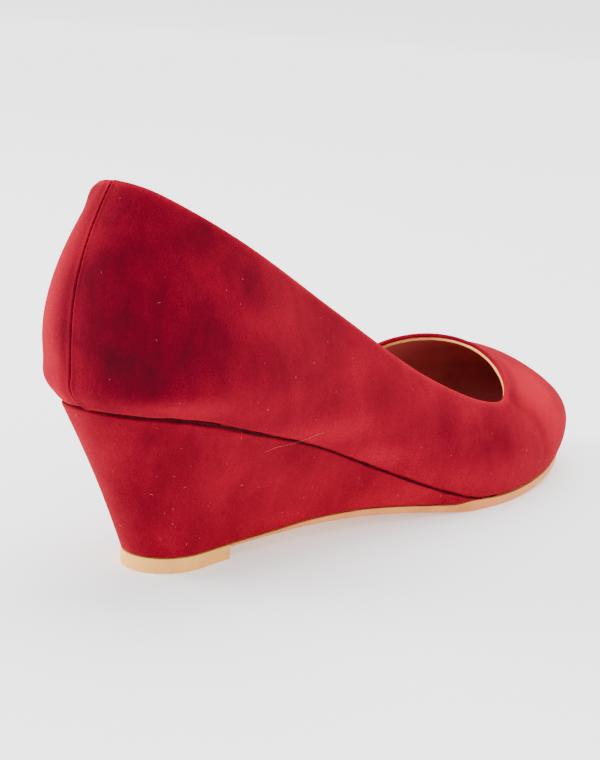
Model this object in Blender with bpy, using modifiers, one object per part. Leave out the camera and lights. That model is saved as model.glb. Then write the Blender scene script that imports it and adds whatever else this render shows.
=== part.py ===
"""Women's wedge pump, EU 38, right shoe: upper, insole, covered wedge, outsole and heel tip.

The shoe is worked out from its last, the form that it is built on. The feather line is the
edge where the sides of the last meet its bottom, and every piece follows that line.

Sizes are millimetres, with x forward from the back of the heel seat to the toe, y to the
wearer's left and z up from the floor. When a mesh is made, they become metres, and the
origin moves to the middle of the heel tip's underside, where the shoe rests.
"""

import math

import bmesh
import bpy
import numpy as np

MM = 0.001
GAP = 0.3
COLLECTION_NAME = "wedge_pump"

# Last: plan length, how long each end is rounded, and how far the toe leans to the inner side
LAST_LENGTH = 242.0
HEEL_ROUND = 44.0
TOE_ROUND = 74.0
TOE_LEAN = 5.0
LEAN_START = 0.45

# Upper: wall, the margin that is lasted under the insole, and the throat's centre and skew
WALL = 1.8
MARGIN = 9.0
THROAT = 180.0
THROAT_SKEW = 0.08
SKEW_START = 120.0
BACK_COLUMNS = 38
FRONT_COLUMNS = 22
WALL_ROWS = 13
COLLAR_STEPS = 24

# Insole
INSOLE_THICKNESS = 2.0
INSOLE_LIFT = WALL + 2 * GAP
INSOLE_INSET = WALL + 2 * GAP
FILLER_INSET = MARGIN + 2 * GAP

# Wedge and heel tip
WEDGE_FRONT = 150.0
WEDGE_BOW = 0.8
WEDGE_ROWS = 5
TIP_BACK = 23.0
TIP_FRONT = 50.5
TIP_ROUND = 15.0
TIP_THICKNESS = 4.3

PLATE_STATIONS = 36

ORIGIN = np.array([(TIP_BACK + TIP_FRONT) / 2, 0.0, 0.0])


class Sections:
    """A short table of sections, read as smooth curves that never overshoot their rows."""

    def __init__(self, columns, *rows):
        self.columns = dict(zip(columns, np.array(rows, float).T))
        self.stations = self.columns[columns[0]]

    def read(self, column, at):
        """Return the column's value at each station in `at`, by a monotone cubic."""
        values = self.columns[column]
        step = np.diff(self.stations)
        slope = np.diff(values) / step
        tangent = np.concatenate([slope[:1], self.inner_tangents(slope, step), slope[-1:]])
        row = np.clip(np.searchsorted(self.stations, at) - 1, 0, len(step) - 1)
        t = np.clip((at - self.stations[row]) / step[row], 0.0, 1.0)
        start = (2 * t**3 - 3 * t**2 + 1) * values[row] + (t**3 - 2 * t**2 + t) * step[row] * tangent[row]
        end = (3 * t**2 - 2 * t**3) * values[row + 1] + (t**3 - t**2) * step[row] * tangent[row + 1]
        return start + end

    @staticmethod
    def inner_tangents(slope, step):
        """Return a tangent for each inner row, flat where the column turns back."""
        before, after = slope[:-1], slope[1:]
        same_way = before * after > 0
        mean = 0.5 * (before + after)
        limit = 3 * np.minimum(np.abs(before), np.abs(after))
        return np.where(same_way, np.sign(mean) * np.minimum(np.abs(mean), limit), 0.0)


# Feather line: half widths on the outer and inner side, and height over the floor
FEATHER = Sections(
    ("along", "outer", "inner", "height"),
    (0.00, 25.2, 25.2, 49.3),
    (0.09, 25.3, 25.2, 46.7),
    (0.19, 25.2, 25.0, 40.0),
    (0.30, 25.0, 24.0, 31.8),
    (0.41, 26.0, 23.6, 21.5),
    (0.50, 29.2, 26.2, 12.9),
    (0.56, 32.4, 29.4, 7.6),
    (0.62, 35.4, 33.4, 3.8),
    (0.69, 36.9, 37.0, 3.2),
    (0.80, 36.9, 37.8, 4.4),
    (0.90, 36.9, 37.8, 6.4),
    (1.00, 36.9, 37.8, 8.2),
)

# Wall of the last, in columns from the feather line up to the ridge: how far a column swells
# outwards and rises at the bottom, how far it reaches outwards and drops below the ridge at
# the top, and where on the ridge it ends
WALL_SHAPE = Sections(
    ("along", "swell", "rise", "reach", "drop", "ridge"),
    (0.00, 10.5, 0.25, 1.10, 0.48, 30.0),
    (0.06, 15.5, 0.19, 1.00, 0.42, 36.0),
    (0.15, 15.0, 0.22, 0.80, 0.27, 54.0),
    (0.30, 12.0, 0.32, 0.55, 0.14, 88.0),
    (0.50, 11.0, 0.42, 0.55, 0.05, 134.0),
    (0.64, 9.5, 0.48, 0.58, 0.00, 164.0),
    (0.75, 9.0, 0.52, 0.60, 0.00, THROAT),
    (0.86, 9.0, 0.55, 0.60, 0.00, 200.0),
    (1.00, 9.0, 0.58, 0.60, 0.00, 224.0),
)
THROAT_STATION = 0.75 * LAST_LENGTH

# Ridge of the last in side view, from above the heel over the instep to the toe's pole
RIDGE = Sections(
    ("x", "height"),
    (30.0, 130.0),
    (52.0, 124.0),
    (88.0, 108.5),
    (140.0, 68.5),
    (180.0, 47.5),
    (203.0, 41.2),
    (224.0, 31.6),
)

# Collar in side view, down the quarters and up over the throat
COLLAR = Sections(
    ("x", "height"),
    (5.0, 109.5),
    (11.0, 107.5),
    (22.0, 101.5),
    (40.0, 91.0),
    (60.0, 80.0),
    (85.0, 66.3),
    (114.0, 50.4),
    (128.0, 43.7),
    (140.0, 38.6),
    (150.0, 35.4),
    (159.0, 34.2),
    (168.0, 37.5),
    (174.0, 42.5),
    (180.0, 47.5),
)

# Outsole: share of the feather line's width, thickness under the wedge, height of its underside
SOLE = Sections(
    ("x", "share", "thickness", "underside"),
    (50.0, 0.48, 0.8, 3.6),
    (66.0, 0.58, 1.0, 4.3),
    (80.0, 0.67, 1.6, 4.7),
    (100.0, 0.80, 2.1, 4.3),
    (112.0, 0.87, 2.2, 3.5),
    (125.0, 0.93, 2.2, 2.2),
    (137.0, 0.97, 2.4, 0.8),
    (147.0, 0.99, 2.5, 0.0),
    (165.0, 1.00, 2.5, 0.0),
    (180.0, 1.00, 2.5, 0.5),
    (194.0, 1.00, 2.5, 1.4),
    (218.0, 1.00, 2.5, 3.4),
    (242.0, 1.00, 2.5, 5.3),
)

SIDES = {"outer": -1.0, "inner": 1.0}


def centre(x):
    """Return how far the centre line leans to the inner side at x."""
    past = np.clip((x / LAST_LENGTH - LEAN_START) / (1 - LEAN_START), 0.0, 1.0)
    return TOE_LEAN * past**2


def end_round(distance, length):
    """Return the share of the full width at a distance from a rounded end."""
    left = np.clip(1 - distance / length, 0.0, 1.0)
    return np.sqrt(1 - left**2)


def feather_height(x):
    """Return the height of the last's bottom at x."""
    return FEATHER.read("height", x / LAST_LENGTH)


def outline(side, x, inset=0.0):
    """Return y on the feather line at x, on one side, moved inwards by `inset`."""
    width = FEATHER.read(side, x / LAST_LENGTH) - inset
    heel = end_round(x - inset, HEEL_ROUND - inset)
    toe = end_round(LAST_LENGTH - inset - x, TOE_ROUND - inset)
    return centre(x) + SIDES[side] * width * heel * toe


def stations(start, end, count, dense_start=True, dense_end=True):
    """Return x values from start to end, closer together towards the rounded ends."""
    t = np.linspace(0.0, 1.0, count + 1)
    if dense_start and dense_end:
        t = (1 - np.cos(math.pi * t)) / 2
    elif dense_start:
        t = 1 - np.cos(math.pi * t / 2)
    elif dense_end:
        t = np.sin(math.pi * t / 2)
    return start + (end - start) * t


def points(x, y, z):
    """Stack coordinates into rows of points."""
    return np.stack(np.broadcast_arrays(x, y, z), axis=-1)


def plan_normals(line, side):
    """Return the outward direction in plan at each point of the feather line."""
    along = np.gradient(line[:, :2], axis=0)
    normal = SIDES[side] * np.stack([-along[:, 1], along[:, 0]], axis=-1)
    normal[0] = (-1.0, 0.0)
    normal[-1] = (1.0, 0.0)
    return normal / np.linalg.norm(normal, axis=1, keepdims=True)


def wall_handles(side, x):
    """Return the four Bezier points of each wall column, from the feather line to the ridge."""
    shape = {name: WALL_SHAPE.read(name, x / LAST_LENGTH) for name in WALL_SHAPE.columns}
    low = points(x, outline(side, x), feather_height(x))
    high = points(shape["ridge"], centre(shape["ridge"]), RIDGE.read("height", shape["ridge"]))
    tall = (high - low)[:, 2]
    low_handle = low.copy()
    low_handle[:, :2] += plan_normals(low, side) * shape["swell"][:, None]
    low_handle[:, 2] += shape["rise"] * tall
    ridge_slope = (high[:, 2] - RIDGE.read("height", high[:, 0] - 0.5)) / 0.5
    ridge_slope[0] = ridge_slope[1]
    high_handle = high.copy()
    high_handle[:, :2] += (low - high)[:, :2] * shape["reach"][:, None]
    high_handle[:, 2] += ridge_slope * (high_handle - high)[:, 0] - shape["drop"] * tall
    return low, low_handle, high_handle, high


def bezier(handles, t):
    """Return the points of each column at its own parameter t."""
    a, b, c, d = handles
    t = t[:, None]
    return (1 - t) ** 3 * a + 3 * (1 - t) ** 2 * t * b + 3 * (1 - t) * t**2 * c + t**3 * d


def over_collar(point):
    """Return how far a point of the last lies over the collar, which is skewed at the throat."""
    past = np.clip((point[:, 0] - SKEW_START) / (THROAT - SKEW_START), 0.0, 1.0)
    skewed = point[:, 0] + THROAT_SKEW * past * (point[:, 1] - centre(point[:, 0]))
    return point[:, 2] - COLLAR.read("height", skewed)


def collar_parameters(handles):
    """Return the Bezier parameter where each column meets the collar, 1 from the throat on."""
    low = np.zeros(len(handles[0]))
    high = np.ones(len(handles[0]))
    for _ in range(COLLAR_STEPS):
        middle = (low + high) / 2
        over = over_collar(bezier(handles, middle)) > 0
        high = np.where(over, middle, high)
        low = np.where(over, low, middle)
    cut = (low + high) / 2
    cut[BACK_COLUMNS:] = 1.0
    return cut


def upper_surface(side):
    """Return the outside of the upper on one side, as rows from the margin up to the collar."""
    back_x = stations(0.0, THROAT_STATION, BACK_COLUMNS)
    front_x = stations(THROAT_STATION, LAST_LENGTH, FRONT_COLUMNS)
    x = np.concatenate([back_x, front_x[1:]])
    handles = wall_handles(side, x)
    cut = collar_parameters(handles)
    inner_x = MARGIN + x * (LAST_LENGTH - 2 * MARGIN) / LAST_LENGTH
    margin = points(inner_x, outline(side, inner_x, MARGIN), feather_height(inner_x))
    rows = [bezier(handles, share * cut) for share in np.linspace(0.0, 1.0, WALL_ROWS + 1)]
    return np.array([margin, *rows])


def add_grid(mesh, rows, flipped):
    """Add the quads of a grid of points, turned so that they face outwards."""
    verts = [[mesh.verts.new((point - ORIGIN) * MM) for point in row] for row in rows]
    for low, high in zip(verts, verts[1:]):
        for at in range(len(low) - 1):
            quad = (low[at], low[at + 1], high[at + 1], high[at])
            mesh.faces.new(quad[::-1] if flipped else quad)


def mesh_object(name, mesh, material):
    """Weld the mesh, give it a name and a material, and put it in the shoe's collection."""
    bmesh.ops.remove_doubles(mesh, verts=mesh.verts, dist=0.01 * MM)
    data = bpy.data.meshes.new(name)
    mesh.to_mesh(data)
    mesh.free()
    data.materials.append(material)
    data.shade_smooth()
    data.set_sharp_from_angle(angle=math.radians(40))
    item = bpy.data.objects.new(name, data)
    bpy.data.collections[COLLECTION_NAME].objects.link(item)
    return item


def paired_loft(name, rings, material):
    """Make a solid through rings of outer and inner points, closed across at both ends."""
    mesh = bmesh.new()
    outer, inner = (np.array(lines) for lines in zip(*rings))
    add_grid(mesh, outer, flipped=False)
    add_grid(mesh, inner, flipped=True)
    for ring in (0, -1):
        add_grid(mesh, np.array([outer[ring], inner[ring]]), flipped=False)
    for end in (0, -1):
        add_grid(mesh, np.array([outer[:, end], inner[:, end]]), flipped=False)
    bmesh.ops.remove_doubles(mesh, verts=mesh.verts, dist=0.01 * MM)
    bmesh.ops.recalc_face_normals(mesh, faces=mesh.faces)
    return mesh_object(name, mesh, material)


def make_upper(material):
    """Make the upper as one wall with its lasting margin, open at the collar and underneath."""
    mesh = bmesh.new()
    add_grid(mesh, upper_surface("outer"), flipped=False)
    add_grid(mesh, upper_surface("inner"), flipped=True)
    upper = mesh_object("upper", mesh, material)
    wall = upper.modifiers.new("wall", "SOLIDIFY")
    wall.thickness = WALL * MM
    wall.offset = -1.0
    wall.use_even_offset = True
    return upper


def make_insole(material):
    """Make the insole: a board on the lasting margin, and the filler between the margins."""

    def ring(inset, lift):
        x = stations(inset, LAST_LENGTH - inset, PLATE_STATIONS)
        return [points(x, outline(side, x, inset), feather_height(x) + lift) for side in SIDES]

    rings = [
        ring(INSOLE_INSET, INSOLE_LIFT + INSOLE_THICKNESS),
        ring(INSOLE_INSET, INSOLE_LIFT),
        ring(FILLER_INSET, INSOLE_LIFT),
        ring(FILLER_INSET, 0.0),
    ]
    return paired_loft("insole", rings, material)


def sole_edge(side, x):
    """Return y on the edge of the outsole and of the wedge's underside."""
    return centre(x) + SOLE.read("share", x) * (outline(side, x) - centre(x))


def waist_top(x):
    """Return the height of the outsole's upper face under the wedge."""
    return SOLE.read("underside", x) + SOLE.read("thickness", x)


def tip_edge(side, x):
    """Return y on the edge of the heel tip: round at the back and straight in front."""
    return SIDES[side] * abs(sole_edge(side, np.array(TIP_FRONT))) * end_round(x - TIP_BACK, TIP_ROUND)


def make_wedge(material):
    """Make the covered wedge, ruled from the feather line down to the tip and the outsole."""
    seat_x = stations(0.0, WEDGE_FRONT, PLATE_STATIONS, dense_end=False)
    foot_x = TIP_BACK + seat_x * (WEDGE_FRONT - TIP_BACK) / WEDGE_FRONT
    foot_z = np.where(foot_x < TIP_FRONT, TIP_THICKNESS, waist_top(foot_x)) + GAP
    rings = []
    for share in np.linspace(0.0, 1.0, WEDGE_ROWS + 1):
        bow = WEDGE_BOW * math.sin(math.pi * share)
        ring = []
        for side in SIDES:
            seat = points(seat_x, outline(side, seat_x), feather_height(seat_x) - GAP)
            foot_y = np.where(foot_x < TIP_FRONT, tip_edge(side, foot_x), sole_edge(side, foot_x))
            foot = points(foot_x, foot_y, foot_z)
            line = seat + (foot - seat) * share
            tall = (seat - foot)[:, 2] / (seat - foot)[0, 2]
            line[:, :2] -= plan_normals(seat, side) * (bow * tall)[:, None]
            ring.append(line)
        rings.append(ring)
    return paired_loft("wedge", rings, material)


def make_outsole(material):
    """Make the outsole: a thin sheet from the heel tip under the waist to the toe."""
    step = WEDGE_FRONT + GAP
    waist_x = stations(TIP_FRONT + GAP, step, PLATE_STATIONS // 2, dense_start=False, dense_end=False)
    front_x = stations(step, LAST_LENGTH, PLATE_STATIONS, dense_start=False)
    x = np.concatenate([waist_x, front_x])
    top = np.concatenate([waist_top(waist_x), feather_height(front_x) - GAP])
    faces = [top, SOLE.read("underside", x)]
    rings = [[points(x, sole_edge(side, x), z) for side in SIDES] for z in faces]
    return paired_loft("outsole", rings, material)


def make_heel_tip(material):
    """Make the heel tip that the shoe stands on, round at the back."""
    x = stations(TIP_BACK, TIP_FRONT, PLATE_STATIONS // 2, dense_end=False)
    rings = [[points(x, tip_edge(side, x), z) for side in SIDES] for z in (TIP_THICKNESS, 0.0)]
    return paired_loft("heel_tip", rings, material)


def principled(name, colour, roughness):
    """Return a Principled material of one colour and roughness."""
    material = bpy.data.materials.new(name)
    material.use_nodes = True
    shader = material.node_tree.nodes["Principled BSDF"]
    shader.inputs["Base Color"].default_value = (*colour, 1.0)
    shader.inputs["Roughness"].default_value = roughness
    shader.inputs["Metallic"].default_value = 0.0
    return material


def clear_scene():
    """Remove every object of the open scene."""
    for item in list(bpy.data.objects):
        bpy.data.objects.remove(item, do_unlink=True)


def main():
    """Build the shoe's five pieces."""
    clear_scene()
    collection = bpy.data.collections.new(COLLECTION_NAME)
    bpy.context.scene.collection.children.link(collection)
    make_upper(principled("red_suede", (0.42, 0.015, 0.03), 0.95))
    make_insole(principled("insole_leather", (0.20, 0.02, 0.02), 0.7))
    make_wedge(principled("red_suede_cover", (0.36, 0.012, 0.026), 0.95))
    make_outsole(principled("beige_sole", (0.60, 0.36, 0.22), 0.55))
    make_heel_tip(principled("beige_tip", (0.65, 0.42, 0.26), 0.6))


main()
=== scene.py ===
"""Women's wedge pump in red velour: the dressed right shoe, its floor, light and camera.

Every piece is worked out from the shoe's last. Sizes are millimetres in the shoe's own frame,
with x forward from the back of the heel seat, y to the wearer's left and z up from the floor.
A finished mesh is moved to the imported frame's origin, the middle of the heel tip's underside,
and becomes metres.
"""

import logging
import math
from collections.abc import Callable
from dataclasses import dataclass, field
from enum import Enum

import bmesh
import bpy
import numpy as np
from mathutils import Matrix
from numpy.typing import NDArray

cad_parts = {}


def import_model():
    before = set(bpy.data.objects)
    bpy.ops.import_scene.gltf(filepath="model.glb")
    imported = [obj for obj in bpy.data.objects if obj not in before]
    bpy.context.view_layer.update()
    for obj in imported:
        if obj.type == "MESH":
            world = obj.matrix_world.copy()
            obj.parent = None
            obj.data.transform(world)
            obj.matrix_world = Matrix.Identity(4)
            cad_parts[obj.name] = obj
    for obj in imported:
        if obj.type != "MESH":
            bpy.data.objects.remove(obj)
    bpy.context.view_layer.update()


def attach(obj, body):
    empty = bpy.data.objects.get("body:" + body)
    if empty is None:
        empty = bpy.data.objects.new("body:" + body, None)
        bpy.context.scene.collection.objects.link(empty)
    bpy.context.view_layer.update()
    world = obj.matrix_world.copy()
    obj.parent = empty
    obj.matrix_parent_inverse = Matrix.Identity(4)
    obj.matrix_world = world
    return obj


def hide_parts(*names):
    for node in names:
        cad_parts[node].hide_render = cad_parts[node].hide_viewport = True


Array = NDArray[np.float64]
Handles = tuple[Array, Array, Array, Array]
Point = tuple[float, float, float]
Colour = tuple[float, float, float]
Span = tuple[float, float]
Socket = bpy.types.NodeSocket

MM = 0.001
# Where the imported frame's origin lies in the shoe's own frame, in millimetres.
ORIGIN = np.array([36.75, 0.0, 0.0])
BODY = "root"
IMAGE_WIDTH = 600
# Points of a piece that lie closer together than this, in millimetres, become one.
WELD = 0.004
# The vertex attribute that carries the nap's shade together with painted light and shade, and the shade where
# nothing was brushed or painted.
NAP_AND_LIGHT = "nap"
PLAIN_NAP = 0.33
# The range that most values of a noise lie in.
MIDDLE = (0.3, 0.7)
# An angle in degrees that no edge passes, so that the whole piece is shaded smooth.
NEVER_SHARP = 180.0
LOG = logging.getLogger("wedge_pump")


class Side(Enum):
    """A side of this right shoe, with the sign of y there."""

    OUTER = -1.0
    INNER = 1.0

    @property
    def column(self) -> str:
        """Return the name of this side's column in the feather table."""
        return self.name.lower()


class Slot(Enum):
    """Material slots of the record, one passed along with each piece."""

    VELOUR = "red_velour"
    COVER = "wedge_velour"
    LINING = "insole_leather"
    SOLE = "beige_outsole"
    TIP = "beige_tip"


@dataclass(frozen=True)
class Sections:
    """A short table of sections, read as smooth curves that never overshoot their rows."""

    columns: tuple[str, ...]
    rows: tuple[tuple[float, ...], ...]

    def read(self, column: str, at: Array) -> Array:
        """Read one column between the rows by a monotone cubic.

        Args:
            column: The name of the column.
            at: Stations, in the units of the first column.

        Returns:
            The column's value at each station.
        """
        table = np.array(self.rows, float).T
        stations, values = table[0], table[self.columns.index(column)]
        step = np.diff(stations)
        slope = np.diff(values) / step
        tangent = np.concatenate([slope[:1], self._inner_tangents(slope), slope[-1:]])
        row = np.clip(np.searchsorted(stations, at) - 1, 0, len(step) - 1)
        t = np.clip((at - stations[row]) / step[row], 0.0, 1.0)
        start = (2 * t**3 - 3 * t**2 + 1) * values[row] + (t**3 - 2 * t**2 + t) * step[row] * tangent[row]
        end = (3 * t**2 - 2 * t**3) * values[row + 1] + (t**3 - t**2) * step[row] * tangent[row + 1]
        return start + end

    @staticmethod
    def _inner_tangents(slope: Array) -> Array:
        """Return a tangent for each inner row, flat where the column turns back.

        It is the mean of the slopes before and after, within three times the smaller one.

        Args:
            slope: The slope between each two rows.

        Returns:
            The tangent at each inner row.
        """
        before, after = slope[:-1], slope[1:]
        mean = 0.5 * (before + after)
        limit = 3 * np.minimum(np.abs(before), np.abs(after))
        return np.where(before * after > 0, np.sign(mean) * np.minimum(np.abs(mean), limit), 0.0)


def smooth_step(low: float, high: float, value: Array) -> Array:
    """Return 0 below low, 1 above high and an S-shaped cubic between them."""
    t = np.clip((value - low) / (high - low), 0.0, 1.0)
    return t * t * (3 - 2 * t)


def bump(distance: Array, width: float) -> Array:
    """Return a bell curve of a distance, 1 in the middle and near 0 past twice the width."""
    return np.exp(-((distance / width) ** 2))


def unit(vectors: Array) -> Array:
    """Return the vectors at length one."""
    return vectors / np.maximum(np.linalg.norm(vectors, axis=-1, keepdims=True), 1e-9)


def stack(x: Array, y: Array, z: Array | float) -> Array:
    """Stack three coordinates into points along the last axis."""
    return np.stack(np.broadcast_arrays(x, y, z), axis=-1)


def ripple(at: Array, lengths: tuple[float, ...], seed: int) -> Array:
    """Sum sine waves of the given lengths with seeded phases, for hand-made unevenness.

    Args:
        at: Distance along an edge.
        lengths: Wave lengths, in the same units.
        seed: Seed of the phases.

    Returns:
        A wavy value between about -1 and 1 at each distance.
    """
    phases = np.random.default_rng(seed).uniform(0, 2 * math.pi, len(lengths))
    waves = [np.sin(2 * math.pi * at / length + phase) for length, phase in zip(lengths, phases)]
    return np.sum(waves, axis=0) / len(lengths)


def polyline_distance(points: Array, line: Array) -> Array:
    """Return each point's distance to a polyline, as the least distance to its segments.

    Args:
        points: Points with coordinates along the last axis.
        line: The polyline's own points, one row each.

    Returns:
        The distance of each point.
    """
    best = np.full(points.shape[:-1], np.inf)
    for start, end in zip(line, line[1:]):
        along = end - start
        share = np.clip((points - start) @ along / (along @ along), 0.0, 1.0)
        best = np.minimum(best, np.linalg.norm(points - start - share[..., None] * along, axis=-1))
    return best


@dataclass(frozen=True)
class Last:
    """The form that the shoe is built on, with its feather line, wall, ridge and collar."""

    length: float = 242.0
    heel_round: float = 44.0
    toe_round: float = 74.0
    toe_lean: float = 5.0
    lean_start: float = 0.45
    margin: float = 9.0
    throat: float = 180.0
    throat_share: float = 0.75
    throat_skew: float = 0.08
    skew_start: float = 120.0
    bisections: int = 30
    slope_step: float = 0.5
    feather: Sections = Sections(
        ("along", "outer", "inner", "height"),
        (
            (0.00, 25.2, 25.2, 49.3),
            (0.09, 25.3, 25.2, 46.7),
            (0.19, 25.2, 25.0, 40.0),
            (0.30, 25.0, 24.0, 31.8),
            (0.41, 26.0, 23.6, 21.5),
            (0.50, 29.2, 26.2, 12.9),
            (0.56, 32.4, 29.4, 7.6),
            (0.62, 35.4, 33.4, 3.8),
            (0.69, 36.9, 37.0, 3.2),
            (0.80, 36.9, 37.8, 4.4),
            (0.90, 36.9, 37.8, 6.4),
            (1.00, 36.9, 37.8, 8.2),
        ),
    )
    wall: Sections = Sections(
        ("along", "swell", "rise", "reach", "drop", "ridge"),
        (
            (0.00, 10.5, 0.25, 1.10, 0.48, 30.0),
            (0.06, 15.5, 0.19, 1.00, 0.42, 36.0),
            (0.15, 15.0, 0.22, 0.80, 0.27, 54.0),
            (0.30, 12.0, 0.32, 0.55, 0.14, 88.0),
            (0.50, 11.0, 0.42, 0.55, 0.05, 134.0),
            (0.64, 9.5, 0.48, 0.58, 0.00, 164.0),
            (0.75, 9.0, 0.52, 0.60, 0.00, 180.0),
            (0.86, 9.0, 0.55, 0.60, 0.00, 200.0),
            (1.00, 9.0, 0.58, 0.60, 0.00, 224.0),
        ),
    )
    ridge: Sections = Sections(
        ("x", "height"),
        (
            (30.0, 130.0),
            (52.0, 124.0),
            (88.0, 108.5),
            (140.0, 68.5),
            (180.0, 47.5),
            (203.0, 41.2),
            (224.0, 31.6),
        ),
    )
    collar: Sections = Sections(
        ("x", "height"),
        (
            (5.0, 109.5),
            (11.0, 107.5),
            (22.0, 101.5),
            (40.0, 91.0),
            (60.0, 80.0),
            (85.0, 66.3),
            (114.0, 50.4),
            (128.0, 43.7),
            (140.0, 38.6),
            (150.0, 35.4),
            (159.0, 34.2),
            (168.0, 37.5),
            (174.0, 42.5),
            (180.0, 47.5),
        ),
    )

    def centre(self, x: Array) -> Array:
        """Return how far the centre line leans to the inner side at x, as a square law."""
        past = np.clip((x / self.length - self.lean_start) / (1 - self.lean_start), 0.0, 1.0)
        return self.toe_lean * past**2

    @staticmethod
    def end_round(distance: Array, length: float) -> Array:
        """Return the share of the full width at a distance from an elliptic end."""
        left = np.clip(1 - distance / length, 0.0, 1.0)
        return np.sqrt(1 - left**2)

    def height(self, x: Array) -> Array:
        """Return the height of the last's bottom at x."""
        return self.feather.read("height", x / self.length)

    def outline(self, side: Side, x: Array, inset: float = 0.0) -> Array:
        """Work out the feather line in plan: the half width times an elliptic round at each end.

        Args:
            side: The side of the shoe.
            x: Stations along the shoe.
            inset: How far the line is moved inwards.

        Returns:
            y on the line at each station.
        """
        width = self.feather.read(side.column, x / self.length) - inset
        heel = self.end_round(x - inset, self.heel_round - inset)
        toe = self.end_round(self.length - inset - x, self.toe_round - inset)
        return self.centre(x) + side.value * width * heel * toe

    @staticmethod
    def plan_normals(line: Array, side: Side) -> Array:
        """Return the outward direction in plan at each point of a line round the last.

        It is the line's direction turned a quarter, and straight back or ahead at the ends.

        Args:
            line: Points from the heel to the toe.
            side: The side of the shoe.

        Returns:
            Directions of length one in x and y.
        """
        along = np.gradient(line[:, :2], axis=0)
        normal = side.value * np.stack([-along[:, 1], along[:, 0]], axis=-1)
        normal[0] = (-1.0, 0.0)
        normal[-1] = (1.0, 0.0)
        return unit(normal)

    def handles(self, side: Side, x: Array) -> Handles:
        """Work out the four Bezier points of each wall column.

        The column leaves the feather line outwards and upwards, and comes to the ridge from
        the side along the ridge's own slope.

        Args:
            side: The side of the shoe.
            x: Stations of the columns on the feather line.

        Returns:
            The four points of each column, from the feather line to the ridge.
        """
        shape = {name: self.wall.read(name, x / self.length) for name in self.wall.columns}
        low = stack(x, self.outline(side, x), self.height(x))
        high = stack(shape["ridge"], self.centre(shape["ridge"]), self.ridge.read("height", shape["ridge"]))
        tall = (high - low)[:, 2]
        low_handle = low.copy()
        low_handle[:, :2] += self.plan_normals(low, side) * shape["swell"][:, None]
        low_handle[:, 2] += shape["rise"] * tall
        behind = self.ridge.read("height", high[:, 0] - self.slope_step)
        slope = (high[:, 2] - behind) / self.slope_step
        slope[high[:, 0] < self.ridge.rows[0][0] + self.slope_step] = self._first_slope()
        high_handle = high.copy()
        high_handle[:, :2] += (low - high)[:, :2] * shape["reach"][:, None]
        high_handle[:, 2] += slope * (high_handle - high)[:, 0] - shape["drop"] * tall
        return low, low_handle, high_handle, high

    def _first_slope(self) -> float:
        """Return the ridge's slope at its first row."""
        (x0, z0), (x1, z1) = self.ridge.rows[:2]
        return (z1 - z0) / (x1 - x0)

    @staticmethod
    def bezier(handles: Handles, t: Array) -> Array:
        """Return the point of each column at its own parameter t.

        The point is (1-t)^3 a + 3 (1-t)^2 t b + 3 (1-t) t^2 c + t^3 d.

        Args:
            handles: The columns' Bezier points.
            t: The parameter of each column.

        Returns:
            One point for each column.
        """
        a, b, c, d = handles
        t = t[:, None]
        return (1 - t) ** 3 * a + 3 * (1 - t) ** 2 * t * b + 3 * (1 - t) * t**2 * c + t**3 * d

    @staticmethod
    def velocity(handles: Handles, t: Array) -> Array:
        """Return the direction in which each column runs at t, per unit of t.

        Args:
            handles: The columns' Bezier points.
            t: The parameter of each column.

        Returns:
            The derivative of the Bezier curve for each column.
        """
        a, b, c, d = handles
        t = t[:, None]
        return 3 * (1 - t) ** 2 * (b - a) + 6 * (1 - t) * t * (c - b) + 3 * t**2 * (d - c)

    def speed(self, handles: Handles, t: Array) -> Array:
        """Return how many millimetres each column runs for one unit of t, at t."""
        return np.linalg.norm(self.velocity(handles, t), axis=-1)

    def over_collar(self, point: Array) -> Array:
        """Return how far points lie over the collar, which is skewed at the throat.

        Args:
            point: Points with coordinates along the last axis.

        Returns:
            Height over the collar in millimetres, negative under it.
        """
        past = np.clip((point[:, 0] - self.skew_start) / (self.throat - self.skew_start), 0.0, 1.0)
        skewed = point[:, 0] + self.throat_skew * past * (point[:, 1] - self.centre(point[:, 0]))
        return point[:, 2] - self.collar.read("height", skewed)

    def collar_cut(self, handles: Handles, drop: Array) -> Array:
        """Find where each column meets the collar, by bisection.

        Args:
            handles: The Bezier points of the columns.
            drop: How far under the collar each column is cut.

        Returns:
            The Bezier parameter of each column at the cut, 1 where it ends on the ridge.
        """
        low = np.zeros(len(handles[0]))
        high = np.ones(len(handles[0]))
        for _ in range(self.bisections):
            middle = (low + high) / 2
            over = self.over_collar(self.bezier(handles, middle)) + drop > 0
            high = np.where(over, middle, high)
            low = np.where(over, low, middle)
        return (low + high) / 2


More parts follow.
